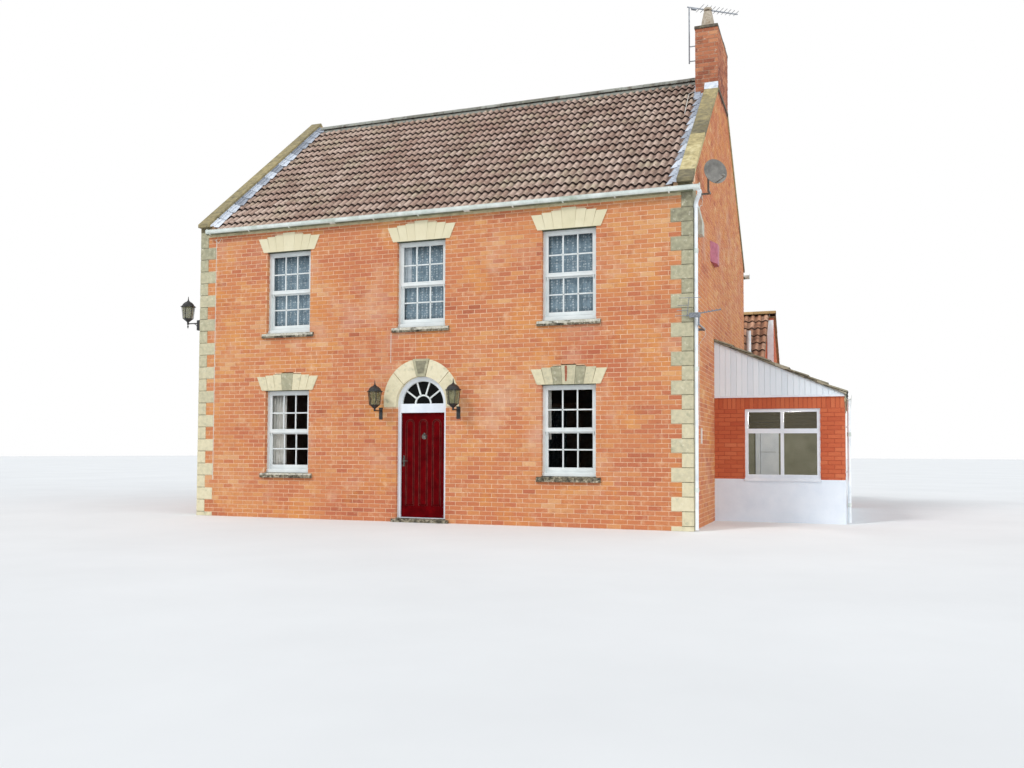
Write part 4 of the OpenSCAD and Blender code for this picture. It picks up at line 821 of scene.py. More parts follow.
def tile_tree():
    """Rows of tiles over a rectangle, each with its own tone and a slight tilt."""
    tree, put = node_tree("tiled_slope", {"Empty": "Geometry", "Tile": "Object", "Surface": "Material",
                                          "Columns": "Int", "Rows": "Int", "Cover": "Float", "Gauge": "Float",
                                          "Seed": "Int"}, "Slope")

    def swing(low, high):
        return add(tree, "FunctionNodeRandomValue", {"Min": low, "Max": high, "Seed": put["Seed"]},
                   data_type="FLOAT_VECTOR")

    points = add(tree, "GeometryNodePoints",
                 {"Count": calculate(tree, "MULTIPLY", put["Columns"], put["Rows"])})
    index = add(tree, "GeometryNodeInputIndex")
    column = calculate(tree, "MODULO", index, put["Columns"])
    row = calculate(tree, "FLOOR", calculate(tree, "DIVIDE", index, put["Columns"]))
    corner = add(tree, "ShaderNodeCombineXYZ", {0: calculate(tree, "MULTIPLY", column, put["Cover"]),
                                                1: calculate(tree, "MULTIPLY", row, put["Gauge"])})
    shift = swing((-0.003, -0.006, 0.0), (0.003, 0.006, 0.003))
    spot = add(tree, "ShaderNodeVectorMath", {0: corner, 1: shift}, operation="ADD")
    points = add(tree, "GeometryNodeSetPosition", {"Geometry": points, "Position": spot})
    own = add(tree, "FunctionNodeRandomValue", {2: 0.1, 3: 0.9, "Seed": put["Seed"], "ID": index},
              data_type="FLOAT")
    points = add(tree, "GeometryNodeStoreNamedAttribute",
                 {"Geometry": points, "Name": "tone", "Value": own.outputs[1]}, data_type="FLOAT",
                 domain="POINT")
    tilt = swing((-0.012, -0.010, -0.006), (0.012, 0.010, 0.006))
    repeat_unit(tree, put, put["Tile"], points, tilt)
    return tree


def slope_matrix(corner, along, rise):
    """Puts the tile plane so that X runs along the eave, Y up the slope and Z out of it."""
    a, r = Vector(along).normalized(), Vector(rise).normalized()
    return Matrix.Translation(corner) @ Matrix((a, r, a.cross(r))).transposed().to_4x4()


def tile_slope(tree, name, surface, layout, seed, matrix):
    """One slope of tiles. layout is the tile, the count of columns and rows, and the size that each covers."""
    tile, columns, rows, cover, gauge = layout
    inputs = {"Tile": tile, "Surface": surface, "Columns": columns, "Rows": rows, "Cover": cover,
              "Gauge": gauge, "Seed": seed}
    data = geometry_result(tree, bpy.data.meshes.new(name), inputs, name)
    data.transform(matrix)
    piece(name, data, surface)


def half_round(outer, inner, steps):
    """Section of a ridge tile between two half ellipses, each given as (half width, height)."""
    turns = [math.pi * i / steps for i in range(steps + 1)]
    over = [(outer[0] * math.cos(a), outer[1] * math.sin(a)) for a in turns]
    under = [(inner[0] * math.cos(a), inner[1] * math.sin(a)) for a in turns[::-1]]
    return over + under


def ridge_row(pile, rng, start, end, length, shortest, section, y, z, wobble=None):
    """Ridge tiles in a row along X, with a 6 mm joint between them."""
    x = start
    while x < end - shortest:
        stop = min(x + length, end)
        base = z + (rng.uniform(*wobble) if wobble else 0.0)
        pile.prism([(y + a, base + b) for a, b in section], flat_yz, x + 0.003, stop - 0.003, rng.random())
        x = stop


def main_tiles(m, tree, rng):
    """Brown double-roll tiles on both slopes, and the half-round ridge in its bed of mortar."""
    columns, overhang, sunk = 33, 0.055, 0.080
    gauge = (HD + overhang) * SLANT / TILE_ROWS
    tile = hidden_unit("double_roman", roll_tile(WI / columns, 2, 0.39, gauge, 0.019, 0.038, 0.040))
    for name, side, seed in (("front_roof_tiles", -1, 3), ("rear_roof_tiles", 1, 4)):
        eave_y = side * (HD + overhang)
        place = slope_matrix((side * WI, eave_y, tile_z(eave_y) - sunk), (-side, 0, 0), (0, -side, FALL))
        layout = (tile, columns, TILE_ROWS, 2 * WI / columns, gauge)
        tile_slope(tree, name, m["tile"], layout, seed, place)
    under = Pile()
    for side in (-1, 1):
        under.prism(band(side * HD, 0, tile_z, -0.160, -0.110), flat_yz, -WI, WI)
    under.piece("roof_deck", m["boards"], "roof_tile", "main_roof")
    ridge = Pile()
    ridge_row(ridge, rng, -WI, STACK_L, 0.45, 0.05, half_round((0.135, 0.098), (0.115, 0.078), 10), 0.0,
              RIDGE - 0.052, (-0.002, 0.003))
    bed = [(-0.12, tile_z(0.12) - 0.03), (-0.10, tile_z(0.1) + 0.02), (0.10, tile_z(0.1) + 0.02),
           (0.12, tile_z(0.12) - 0.03), (0, RIDGE - 0.06)]
    ridge.prism(bed, flat_yz, -WI, STACK_L, 0.8)
    ridge.piece("ridge_capping", m["ridge"], "roof_tile", "ridge_tiles")


def wing_tiles(m, tree, rng):
    """Clay pantiles on the rear wing, whose rear slope is the longer along the ridge, and its ochre ridge."""
    width, rows, verge, overhang, sunk = 0.16, 6, 0.06, 0.03, 0.072
    tile = hidden_unit("pantile", roll_tile(width, 1, 0.38, 0.315, 0.014, 0.030, 0.04))
    slant, half = math.hypot(1, WING_FALL), WING_RIDGE_Y - WING_F
    left, deck = WING_L - verge, Pile()
    for name, side, right, seed in (("wing_front_tiles", -1, WING_R + verge, 6),
                                    ("wing_rear_tiles", 1, WING_R + WING_STEP + verge, 7)):
        columns = round((right - left) / width)
        layout = (tile, columns, rows, (right - left) / columns, (half * slant + overhang) / rows)
        eave_y = WING_RIDGE_Y + side * (half + overhang / slant)
        corner = (left if side < 0 else right, eave_y, wing_z(eave_y) - sunk)
        tile_slope(tree, name, m["pantile"], layout, seed,
                   slope_matrix(corner, (-side, 0, 0), (0, -side, WING_FALL)))
        line = band(WING_RIDGE_Y + side * half, WING_RIDGE_Y, wing_z, -0.150, -0.10)
        deck.prism(line, flat_yz, left, right)
    deck.piece("wing_roof_deck", m["boards"], "clay_tile", "wing_roof")
    cap = Pile()
    ridge_row(cap, rng, left, WING_R + WING_STEP + verge, 0.4, verge,
              half_round((0.11, 0.085), (0.094, 0.069), 8), WING_RIDGE_Y, WING_RIDGE - 0.045)
    cap.piece("wing_ridge_capping", m["ochre_ridge"], "roof_tile")


def lean_to_tiles(m, tree):
    """Flatter tiles on the extension, bedded in mortar along the front edge."""
    columns, rows, verge, edge = 18, 7, 0.06, EXT_R + 0.04
    gauge = (edge - HW) * math.hypot(1, EXT_FALL) / rows
    tile = hidden_unit("flatter_roman", roll_tile(0.149, 2, 0.42, gauge, 0.014, 0.026, 0.032))
    layout = (tile, columns, rows, (HD - EXT_FRONT + verge) / columns, gauge)
    tile_slope(tree, "lean_to_tiles", m["mossy_tile"], layout, 8,
               slope_matrix((edge, EXT_FRONT - verge, ext_z(edge) - 0.056), (0, 1, 0), (-1, 0, EXT_FALL)))
    base = Pile()
    base.prism(band(HW, edge, ext_z, -0.079, -0.070), flat_xz, EXT_FRONT - verge, HD)
    base.piece("lean_to_deck", m["ridge"], "roof_tile", "extension_roof")
    bedding, rng, x = Pile(), random.Random(9), HW + 0.002
    while x < edge - 0.01:
        stop = min(x + 0.36, edge)
        line = [(x, ext_z(x) - 0.068), (stop - 0.004, ext_z(stop) - 0.068),
                (stop - 0.004, ext_z(stop) - 0.020), (x, ext_z(x) - 0.030)]
        bedding.prism(line, flat_xz, EXT_FRONT - 0.0595, EXT_FRONT - 0.030, rng.random(), 0.004)
        x = stop
    bedding.piece("verge_bedding", m["mossy_tile"], "roof_tile")


def tile_roofs(m):
    tree, rng = tile_tree(), random.Random(5)
    main_tiles(m, tree, rng)
    wing_tiles(m, tree, rng)
    lean_to_tiles(m, tree)


# ---------------------------------------------------------------- stonework

def corner_stones(m):
    """Blocks up both front corners, turned alternately long to the front and long to the gable."""
    pile, rng, last = Pile(), random.Random(21), 22
    for side in (-1, 1):
        for k in range(-1, last + 1):
            low = 0.0 if k < 0 else QUOIN_BASE + 3 * COURSE * k
            top = tile_z(HD) + 0.012 if k == last else QUOIN_BASE + 3 * COURSE * (k + 1) - JOINT
            front, flank = (QUOIN_LONG, QUOIN_SHORT) if k % 2 else (QUOIN_SHORT, QUOIN_LONG)
            a, b = sorted((side * (HW - front), side * (HW + QUOIN_OUT)))
            # The stones darken towards the eaves, more so at the right corner
            tone = 0.84 - (0.66 if side > 0 else 0.46) * low / 5.2 + rng.uniform(-0.08, 0.08)
            pile.box(a, b, -HD - QUOIN_OUT, -HD + flank, low, top, tone, 0.006)
            # Dark strips in the joints under the stones: dark mortar, and painted shade for the shadow line
            # under each stone
            if k < last:
                a, b = sorted((side * (HW - QUOIN_SHORT), side * (HW + 0.004)))
                pile.box(a, b, -HD - 0.004, -HD + QUOIN_SHORT, top - 0.001, top + JOINT + 0.001, 0.0)
    pile.piece("corner_stones", m["stone"], "dressed_stone", "quoins")


def lintel_stones(m):
    """Seven splayed stones over each front window, the middle ones taller, and what the rain does there, with
    dark strips under the lintels that are damp and painted shade.
    """
    upper, lower, rng = Pile(), Pile(), random.Random(22)
    # Half widths of the splits between the stones, at the foot and at the top
    splits = ((0.0, 0.0), (0.105, 0.131), (0.255, 0.308), (0.405, 0.478), (0.553, 0.667))
    for x, z in FRONT_WINDOWS:
        clean, foot = z == UP_Z, z + WIN_H
        gap, bevel = (0.0006, 0.0015) if clean else (0.0015, 0.003)
        worn = (0.30, 0.78, 0.80, 0.82) if x < 0 else (0.50, 0.33, 0.62, 0.76)
        for i in range(-3, 4):
            one, two = splits[abs(i)], splits[abs(i) + 1]
            top = (UPPER_RISES if clean else LOWER_RISES)[abs(i)]
            if i == 0:
                line = [(-two[0], 0), (two[0], 0), (two[1], top), (-two[1], top)]
            else:
                side = 1 if i > 0 else -1
                line = [(side * one[0], 0), (side * two[0], 0), (side * two[1], top), (side * one[1], top)]
            middle = sum(a for a, _ in line) / 4
            line = [(x + a + (gap if a < middle else -gap), foot + b) for a, b in line]
            tone = rng.uniform(0.2, 0.8) if clean else worn[abs(i)] + rng.uniform(-0.07, 0.05)
            (upper if clean else lower).prism(line, flat_xz, -HD - LINTEL_OUT, -HD + 0.1, tone, bevel)
    upper.piece("upper_lintel_stones", m["cream_stone"], "dressed_stone", "window_lintels")
    lower.piece("lower_lintel_stones", m["stone"], "dressed_stone")
    # Rust that has run down the middle of the lower right lintel
    streak, x, foot = Pile(), COLUMNS[2] - 0.040, LOW_Z + WIN_H
    line = [(-0.014, 0.050), (0.012, 0.050), (0.022, 0.20), (0.020, 0.312), (-0.024, 0.312), (-0.020, 0.16)]
    streak.prism([(x + a, foot + b) for a, b in line], flat_xz, -HD - LINTEL_OUT - 0.0008, -HD - 0.0170)
    streak.piece("rust_streak", m["rust"], "dressed_stone")
    # Strips on the lintels' undersides: damp stone, and painted shade where the soffits lie in shade
    soffits, tops = Pile(), Pile()
    for x, z in FRONT_WINDOWS:
        a, b, foot = x - WIN_W / 2 + 0.003, x + WIN_W / 2 - 0.003, z + WIN_H
        soffits.box(a, b, -HD - 0.016, -HD + REVEAL - 0.002, foot - 0.009, foot - 0.001, 0.5, 0.001)
        if x > 0 and z == LOW_Z:
            continue    # this sill has stayed dark
        deep = 0.040 if z == LOW_Z else 0.060
        edge = [(-HD - 0.0465, z - deep), (-HD - 0.0465, z - 0.0205), (-HD - 0.001, z - 0.0065),
                (-HD - 0.001, z - deep)]
        tops.prism(edge, flat_yz, a - 0.0825, b + 0.0825, 0.5, 0.0015)
    soffits.piece("damp_soffits", m["damp"], "sill_stone")
    tops.piece("sill_tops", m["sill_top"], "sill_stone")


def arch_stones(m):
    """Springers, haunches and keystone of the doorway arch."""
    pile, outer, raised, back = Pile(), 0.731, 0.064, -HD + 0.150
    foot = SPRING - ARCH_Z
    low = [(0.728, foot)] + arc(outer, -5, 42.0, 9, 0, raised) + arc(DOOR_R, 44.7, 0, 9) + [(DOOR_R, foot)]
    high = arc(outer, 42.7, 77.0, 8, 0, raised) + arc(DOOR_R, 79.3, 45.4, 8)
    for side in (-1, 1):
        for line, tone in ((low, 0.84), (high, 0.93)):
            pile.prism([(side * a, ARCH_Z + b) for a, b in line], flat_xz, -HD - 0.020, back,
                       tone + 0.02 * side, 0.004)
    keystone = [(-0.088, 0.475), (0.088, 0.475), (0.161, 0.790), (-0.161, 0.790)]
    pile.prism([(a, ARCH_Z + b) for a, b in keystone], flat_xz, -HD - 0.034, back, 0.38, 0.006)
    # A darker patch down the middle of the keystone: painted shade of a hollowed face
    hollow_shade = [(-0.056, 0.53), (0.056, 0.53), (0.104, 0.752), (-0.104, 0.752)]
    pile.prism([(a, ARCH_Z + b) for a, b in hollow_shade], flat_xz, -HD - 0.0352, -HD - 0.030, 0.10)
    pile.piece("arch_stones", m["stone"], "dressed_stone", "door_arch")


def coping_stones(m):
    """Sloping stones along both gables, with a kneeler at each foot and open joints between them."""
    pile, rng = Pile(), random.Random(23)
    foot, tip, under, seat = 3.732, 3.990, 5.5848, 0.066
    kneeler = [(tip, under), (tip, tile_z(tip) + COPING_UP), (foot, tile_z(foot) + COPING_UP),
               (foot, tile_z(foot) + seat), (HD, tile_z(HD) + seat), (HD, under)]
    # The joints of each run from the ridge or stack down to the kneeler, and the tones of its stones
    runs = {(1, -1): ([0.752, 1.24, 1.668, 2.10, 2.567, 2.956, foot], [0.58, 0.50, 0.42, 0.24, 0.68, 0.84]),
            (1, 1): ([0.803, 1.5, 2.2, 2.9, foot], None),
            (-1, -1): ([0.0, 0.95, 1.7, 2.45, 3.2, foot], [0.40, 0.46, 0.52, 0.44, 0.40]),
            (-1, 1): ([0.0, 0.8, 1.6, 2.4, 3.1, foot], None)}
    for (side, way), (joints, tones) in runs.items():
        x0, x1 = sorted((side * COPING_IN, side * (HW + 0.025)))
        pile.prism([(way * a, b) for a, b in kneeler], flat_yz, x0, x1, 0.24 if side > 0 else 0.42, 0.008)
        y0, y1 = sorted((way * 3.917, way * 3.800))
        slack0, slack1 = (0.012, 0.021) if side > 0 else (0.021, 0.012)
        pile.box(x0 + slack0, x1 - slack1, y0, y1, 5.500, under - 0.0005, 0.30, 0.004)
        for i, (a, b) in enumerate(zip(joints, joints[1:])):
            a, b = a + (0.003 if i else 0.001), b - 0.003
            tone = tones[i] if tones else rng.uniform(0.3, 0.6)
            pile.prism(band(way * a, way * b, tile_z, seat, COPING_UP), flat_yz, x0, x1, tone, 0.007)
    pile.piece("coping_stones", m["coping"], "sill_stone", "gable_copings")


def chimney_top(m):
    """The slab over the stack with its chipped edge, the low haunching on it and the collar under the pot."""
    slab, collar, rng = Pile(), Pile(), random.Random(27)
    left, right, front, back = STACK_L - 0.022, STACK_R + 0.012, STACK_F - 0.022, STACK_B + 0.022
    cuts = [front, front + 0.41, front + 0.86, front + 1.22, back]
    for a, b in zip(cuts, cuts[1:]):
        slab.box(left + rng.uniform(0, 0.006), right - rng.uniform(0, 0.006), a, b - 0.002, STACK_TOP + 0.001,
                 STACK_TOP + rng.uniform(0.052, 0.06), rng.random(), 0.008)
    slab.box(left + 0.06, right - 0.06, front + 0.06, back - 0.06, STACK_TOP + 0.05, STACK_TOP + 0.078, 0.3,
             0.012)
    slab.piece("cap_slab", m["cap"], "sill_stone", "chimney_cap")
    foot = STACK_TOP + 0.076
    levels = [(0.140, 0.0), (0.128, 0.04), (0.120, STACK_TOP + 0.06 + POT_BED - foot)]
    collar.turned((STACK_L + STACK_R) / 2, STACK_F + 0.200, foot, levels)
    collar.piece("pot_collar", m["pot"], "sill_stone")


# ---------------------------------------------------------------- leadwork and rainwater goods

def soakers(pile, rng):
    """One piece of lead to each row of tiles, turned up against the coping and dressed over the tile."""
    step, thick = (HD + 0.055) * SLANT / TILE_ROWS, 0.0025
    for side, way in ((-1, -1), (-1, 1), (1, -1), (1, 1)):
        rise = Vector((0, -way, FALL)).normalized()
        out = Vector((0, way * FALL, 1)).normalized()
        foot = Vector((side * (WI - 0.016), way * HD, tile_z(HD)))
        reach = HD - ((STACK_B if way > 0 else -STACK_F) if side > 0 else 0.006)
        for row in range(TILE_ROWS):
            low = row * step - 0.01
            top = min((row + 1) * step + 0.03, reach * SLANT - 0.004)
            if top < low + 0.06:
                break
            wide = rng.uniform(0.030, 0.055)
            over = [(-0.0815, 0.088), (-0.079, 0.056), (-0.010, 0.055), (-0.004, 0.030),
                    (0.015, 0.024 + rng.uniform(0, 0.006)), (wide, 0.014)]
            line = over + [(a, b - thick) for a, b in over[::-1]]
            skew = rng.uniform(0.035, 0.070)

            def place(a, b, d, low=low, skew=skew):
                lifted = b + (0.012 if d == low and a > -0.07 else 0.0)
                along = a + (skew if d == low and a > 0.02 else 0.0)
                return foot + Vector((-side * along, 0, 0)) + out * lifted + rise * d
            pile.prism(line, place, low, top, rng.random() * (1.0 - 0.5 * row / TILE_ROWS))


def apron(start, end, lift, upstand):
    """Section of lead laid up a slope from start to end, then turned up against the stack's front."""
    return [(start, tile_z(start) + lift[0]), (end, tile_z(STACK_F) + lift[0]),
            (end, tile_z(STACK_F) + upstand), (STACK_F - 0.008, tile_z(STACK_F) + upstand),
            (start, tile_z(start) + lift[1])]


def leadwork(m):
    """The lead along the copings, round the foot of the stack and in the gutter behind the wing."""
    pile, rng = Pile(), random.Random(24)
    soakers(pile, rng)
    pile.prism(apron(STACK_F - 0.13, STACK_F - 0.002, (0.026, 0.034), 0.085), flat_yz,
               STACK_L - 0.02, WI - 0.016, 0.25)
    steps = [STACK_F, -0.60, -0.45, -0.30, -0.15, 0.0, 0.16, 0.32, 0.48, 0.64, STACK_B]
    for a, b in zip(steps, steps[1:]):
        top = max(tile_z(a), tile_z(b)) + 0.10
        pile.prism([(a, tile_z(a) + 0.02), (b, tile_z(b) + 0.02), (b, top), (a, top)], flat_yz,
                   STACK_L - 0.011, STACK_L - 0.001, 0.2 + 0.3 * rng.random())
    over_coping = (COPING_UP + 0.001, COPING_UP + 0.008)
    pile.prism(apron(STACK_F - 0.09, STACK_F - 0.001, over_coping, COPING_UP + 0.085), flat_yz,
               COPING_IN - 0.004, HW + 0.020, 0.8)
    count, low = 5, wing_z(WING_F) - WING_T
    for i in range(count):
        a, b = (WING_L + k * (LINK_R - WING_L) / count for k in (i, i + 1))
        pile.box(a + (0.002 if i else 0), b - 0.002, HD + 0.001, WING_F - 0.001, low + 0.001, low + 0.042,
                 rng.random(), 0.003)
    pile.piece("lead_soakers", m["lead"], "lead", "roof_flashings")


def rainwater_fittings(m):
    """Straps and sleeves round the eaves gutters, a dark film under them that is algae and painted shade, and
    the downpipes.
    """
    fittings, film, pipes = Pile(), Pile(), Pile()
    left, right, strap_r = -4.568, 4.899, GUTTER_R + 0.003
    for side in (-1, 1):
        strap = [(strap_r, 0.024)] + arc(strap_r, 0, -180, 16) + [(-strap_r, 0.024)]
        strap = [(side * (GUTTER_Y + a), GUTTER_Z + b) for a, b in strap]
        for i in range(11):
            x, wide = -4.50 + 0.89 * i, 0.11 if i in (3, 6) else 0.028
            fittings.ribbon(strap, 0.005, flat_yz, x, min(x + wide, right - 0.004))
        edge_y, edge_z = side * (GUTTER_Y + GUTTER_R - 0.001), GUTTER_Z + 0.025
        edge = [(-0.004, -0.006), (0.004, -0.006), (0.004, 0.002), (-0.004, 0.002)]
        fittings.prism([(edge_y + a, edge_z + b) for a, b in edge], flat_yz, left, right)
        # The dark film on each gutter's underside is algae and painted shade
        low = [(side * (GUTTER_Y + a), GUTTER_Z + b) for a, b in arc(GUTTER_R + 0.0022, -50, -165, 9)]
        film.ribbon(low, 0.002, flat_yz, left, 4.80)
    for x, y, radius, foot, top, socket_r, sockets in PIPES:
        pipes.prism(arc(radius, 0, 345, 23, x, y), flat_xy, foot, top)
        for z in sockets:
            fittings.prism(arc(socket_r, 0, 345, 23, x, y), flat_xy, z, z + 0.07)
    film.piece("gutter_film", m["grime"], "white_plastic")
    fittings.piece("rainwater_fittings", m["gutter"], "white_plastic")
    bend = [(4.835, -3.981, 5.462), (4.868, -3.981, 5.454), (4.889, -3.977, 5.432), (4.893, -3.962, 5.400),
            (4.880, -3.925, 5.362), (4.852, -3.880, 5.326), (4.828, -3.848, 5.290), (4.815, -3.835, 5.235)]
    tube(pipes, bend, 0.035, 12)
    tube(pipes, [bend[-1], (4.815, -3.835, 5.18)], 0.040, 16)
    tube(pipes, [(4.80, -3.981, 5.466), (4.842, -3.981, 5.462)], 0.040, 16)
    rear_bend = [(3.941, 5.20), (3.950, 5.235), (3.973, 5.33), (3.981, 5.365), (3.981, 5.423)]
    tube(pipes, [(-4.305, y, z) for y, z in rear_bend], 0.032, 16)
    brackets = ((4.780, 4.790, -3.835, (0.62, 2.55, 4.45)), (7.034, 7.075, -1.223, (0.9, 1.7)),
                (4.847, 4.887, 3.95, (1.9,)))
    for x0, x1, y, levels in brackets:
        deep = 0.055 if y > 0 else 0.020
        for z in levels:
            pipes.box(x0, x1, y - deep, y + deep, z, z + 0.03, 0.5, 0.002)
    pipes.piece("rainwater_pipes", m["pipe"], "white_plastic", "downpipes")


def tube(pile, path, radius, sides=6):
    """A round bar of this radius through the points."""
    for start, end in zip(path, path[1:]):
        start, end = Vector(start), Vector(end)
        run = (end - start).normalized()
        u = run.orthogonal().normalized()
        v = run.cross(u)
        place = lambda a, b, d: start + u * a + v * b + run * d
        pile.prism(arc(radius, 0, 300, sides - 1), place, 0.0, (end - start).length)


def clipped_leads(m):
    """Aerial and dish leads that run fixed over the tiles and the gable."""
    pile, over_tile, face = Pile(), 0.012, HW + 0.006
    tube(pile, [(4.340, -0.50, 8.95), (4.335, -0.50, tile_z(0.50) + over_tile),
                (4.20, -0.62, tile_z(0.62) + over_tile), (4.22, -1.00, tile_z(1.00) + over_tile),
                (4.25, -1.45, tile_z(1.45) + 0.014)], 0.006)
    loop = ((-3.02, 5.62), (-2.86, 5.72), (-2.78, 5.60), (-2.86, 5.47), (-3.06, 5.42), (-3.20, 5.30),
            (-3.26, 5.10))
    tube(pile, [(face, y, z) for y, z in loop], 0.005)
    tube(pile, [(4.886, -3.30, 3.262), (4.886, -3.26, 3.20), (face, -3.22, 3.05), (face, -3.20, 1.70)], 0.004)
    tube(pile, [(x, -HD - 0.004, z) for x, z in ((-4.45, 5.34), (-4.36, 5.27), (-4.30, 5.36))], 0.004)
    pile.piece("clipped_leads", m["cable"], "white_plastic")


def gable_boxes(m):
    """Alarm cover with its folded sides, the hood over a lamp and a strip that covers a lead."""
    alarm, hood, strip, wall = Pile(), Pile(), Pile(), HW + 0.001
    plan = [(wall, -1.860), (HW + 0.095, -1.520), (HW + 0.095, -1.290), (wall, -1.200)]
    alarm.prism(plan, flat_xy, 4.715, 5.095, 0.5, 0.006)
    alarm.piece("alarm_cover", m["alarm"], "box_plastic", "wall_boxes")
    side = [(wall, 4.830), (HW + 0.100, 4.830), (HW + 0.100, 5.040), (HW + 0.022, 5.350), (wall, 5.350)]
    hood.prism(side, flat_xz, -3.470, -3.250, 0.5, 0.005)
    hood.piece("lamp_hood", m["hood"], "box_plastic")
    strip.box(wall, HW + 0.022, -3.080, -3.010, 1.400, 1.660, 0.5, 0.003)
    strip.piece("lead_cover", m["cable"], "white_plastic")


def lantern_ironwork(m):
    """The domes of the lanterns, and the deep back plate, scroll and drop of the corner one."""
    pile, door_arm, corner_arm = Pile(), 0.240, 0.310
    x, y, arm_z, door_z = -HW - QUOIN_OUT, -HD + 0.032, 3.765, SPRING - 0.035
    pile.box(x - 0.078, x - 0.011, y - 0.036, y + 0.034, arm_z - 0.172, arm_z + 0.027, 0.5, 0.008)
    scroll = ((0.170, 0.037), (0.125, 0.048), (0.098, 0.080), (0.084, 0.120), (0.074, 0.155))
    tube(pile, [(x - a, y, arm_z - b) for a, b in scroll], 0.007)
    drop = [(0.003, -0.126), (0.011, -0.098), (0.017, -0.078), (0.007, -0.060), (0.013, -0.044)]
    pile.turned(x - corner_arm, y, arm_z, drop, 12)
    dome = [(0.112, 0.316), (0.108, 0.345), (0.088, 0.372), (0.060, 0.394), (0.036, 0.408)]
    for spot in ((-0.793, -HD - door_arm, door_z), (0.720, -HD - door_arm, door_z),
                 (x - corner_arm, y, arm_z)):
        pile.turned(*spot, dome)
    pile.piece("lantern_ironwork", m["iron"], "lantern_metal")


# ---------------------------------------------------------------- joinery

def glazing(pile, x, wall_y, z, side):
    """Bars, deeper rails and the timber sill of one sash window in the wall face at wall_y."""
    left, face = x - WIN_W / 2, abs(wall_y) - REVEAL
    stile, glass_w, bar, pane = 0.088, 0.774, 0.024, 0.655

    def put(u0, u1, v0, v1, w0, w1, bevel=0.0):
        y0, y1 = sorted((side * (face - v0), side * (face - v1)))
        pile.box(left + u0, left + u1, y0, y1, z + w0, z + w1, 0.5, bevel)

    # The upper sash stands in front of the lower one
    for front, low, cross in ((0.014, 0.795, 0.310), (0.044, 0.088, 0.346)):
        for i in (1, 2):
            middle = stile + glass_w * i / 3
            put(middle - bar / 2, middle + bar / 2, front, front + 0.026, low, low + pane, 0.003)
        put(stile, stile + glass_w, front, front + 0.026, low + cross, low + cross + bar, 0.003)
    put(0.086, 0.864, 0.012, 0.042, 0.793, 0.816)
    put(0.086, 0.864, 0.042, 0.072, 0.086, 0.148)
    put(0.086, 0.864, 0.042, 0.072, 0.722, 0.745)
    put(0.0, WIN_W, -0.022, 0.0, 0.0, 0.060, 0.004)
    for u in (0.060, 0.866):
        put(u, u + 0.024, 0.013, 0.041, 0.700, 0.750, 0.004)


def window_joinery(m):
    front, rear = Pile(), Pile()
    for x, z in FRONT_WINDOWS:
        glazing(front, x, -HD, z, -1)
    front.piece("front_window_bars", m["frame"], "white_frame")
    for x, z in REAR_WINDOWS:
        glazing(rear, x, HD, z, 1)
    for x, z in WING_WINDOWS:
        glazing(rear, x, WING_B, z, 1)
    rear.piece("rear_window_bars", m["frame"], "white_frame")


def doorway_joinery(m):
    """Spokes of the half-round light, and the beads that frame the three tall door panels."""
    pile, front, back = Pile(), DOOR_FRAME_Y + 0.022, DOOR_FRAME_Y + 0.060
    hub_r, rim_r, bar = 0.150, 0.405, 0.026
    for radius, steps, width, y in ((hub_r, 18, bar, front), (rim_r, 36, 0.016, front - 0.008)):
        pile.ribbon(arc(radius, 0, 180, steps, 0.0, ARCH_Z), width, flat_xz, y, back)
    for turn in (36, 72, 108, 144):
        c, d = math.cos(math.radians(turn)), math.sin(math.radians(turn))
        spoke = [(r * c, ARCH_Z + r * d) for r in (hub_r + 0.005, rim_r)]
        pile.ribbon(spoke, bar, flat_xz, front, back)
    pile.piece("fanlight_bars", m["frame"], "white_frame")
    # The beads take the paler red paint: a painted highlight along the panel edges
    beads = Pile()
    wide, gap, low, tall, leaf_left = 0.17333, 0.086, 0.286, 1.536, -0.432
    for i in range(3):
        left = leaf_left + gap + i * (wide + gap)
        for inset, proud in ((0.002, 0.005), (0.028, 0.003)):
            head = arc(wide / 2 - inset, 0, 180, 14, left + wide / 2, low + tall - wide / 2)
            path = [(left + inset, low + inset), (left + wide - inset, low + inset)] + head
            beads.ribbon(path, 0.007, flat_xz, LEAF_Y - proud, LEAF_Y + 0.004, closed=True)
    beads.piece("door_beads", m["bead"], "door_paint", body="front_door")


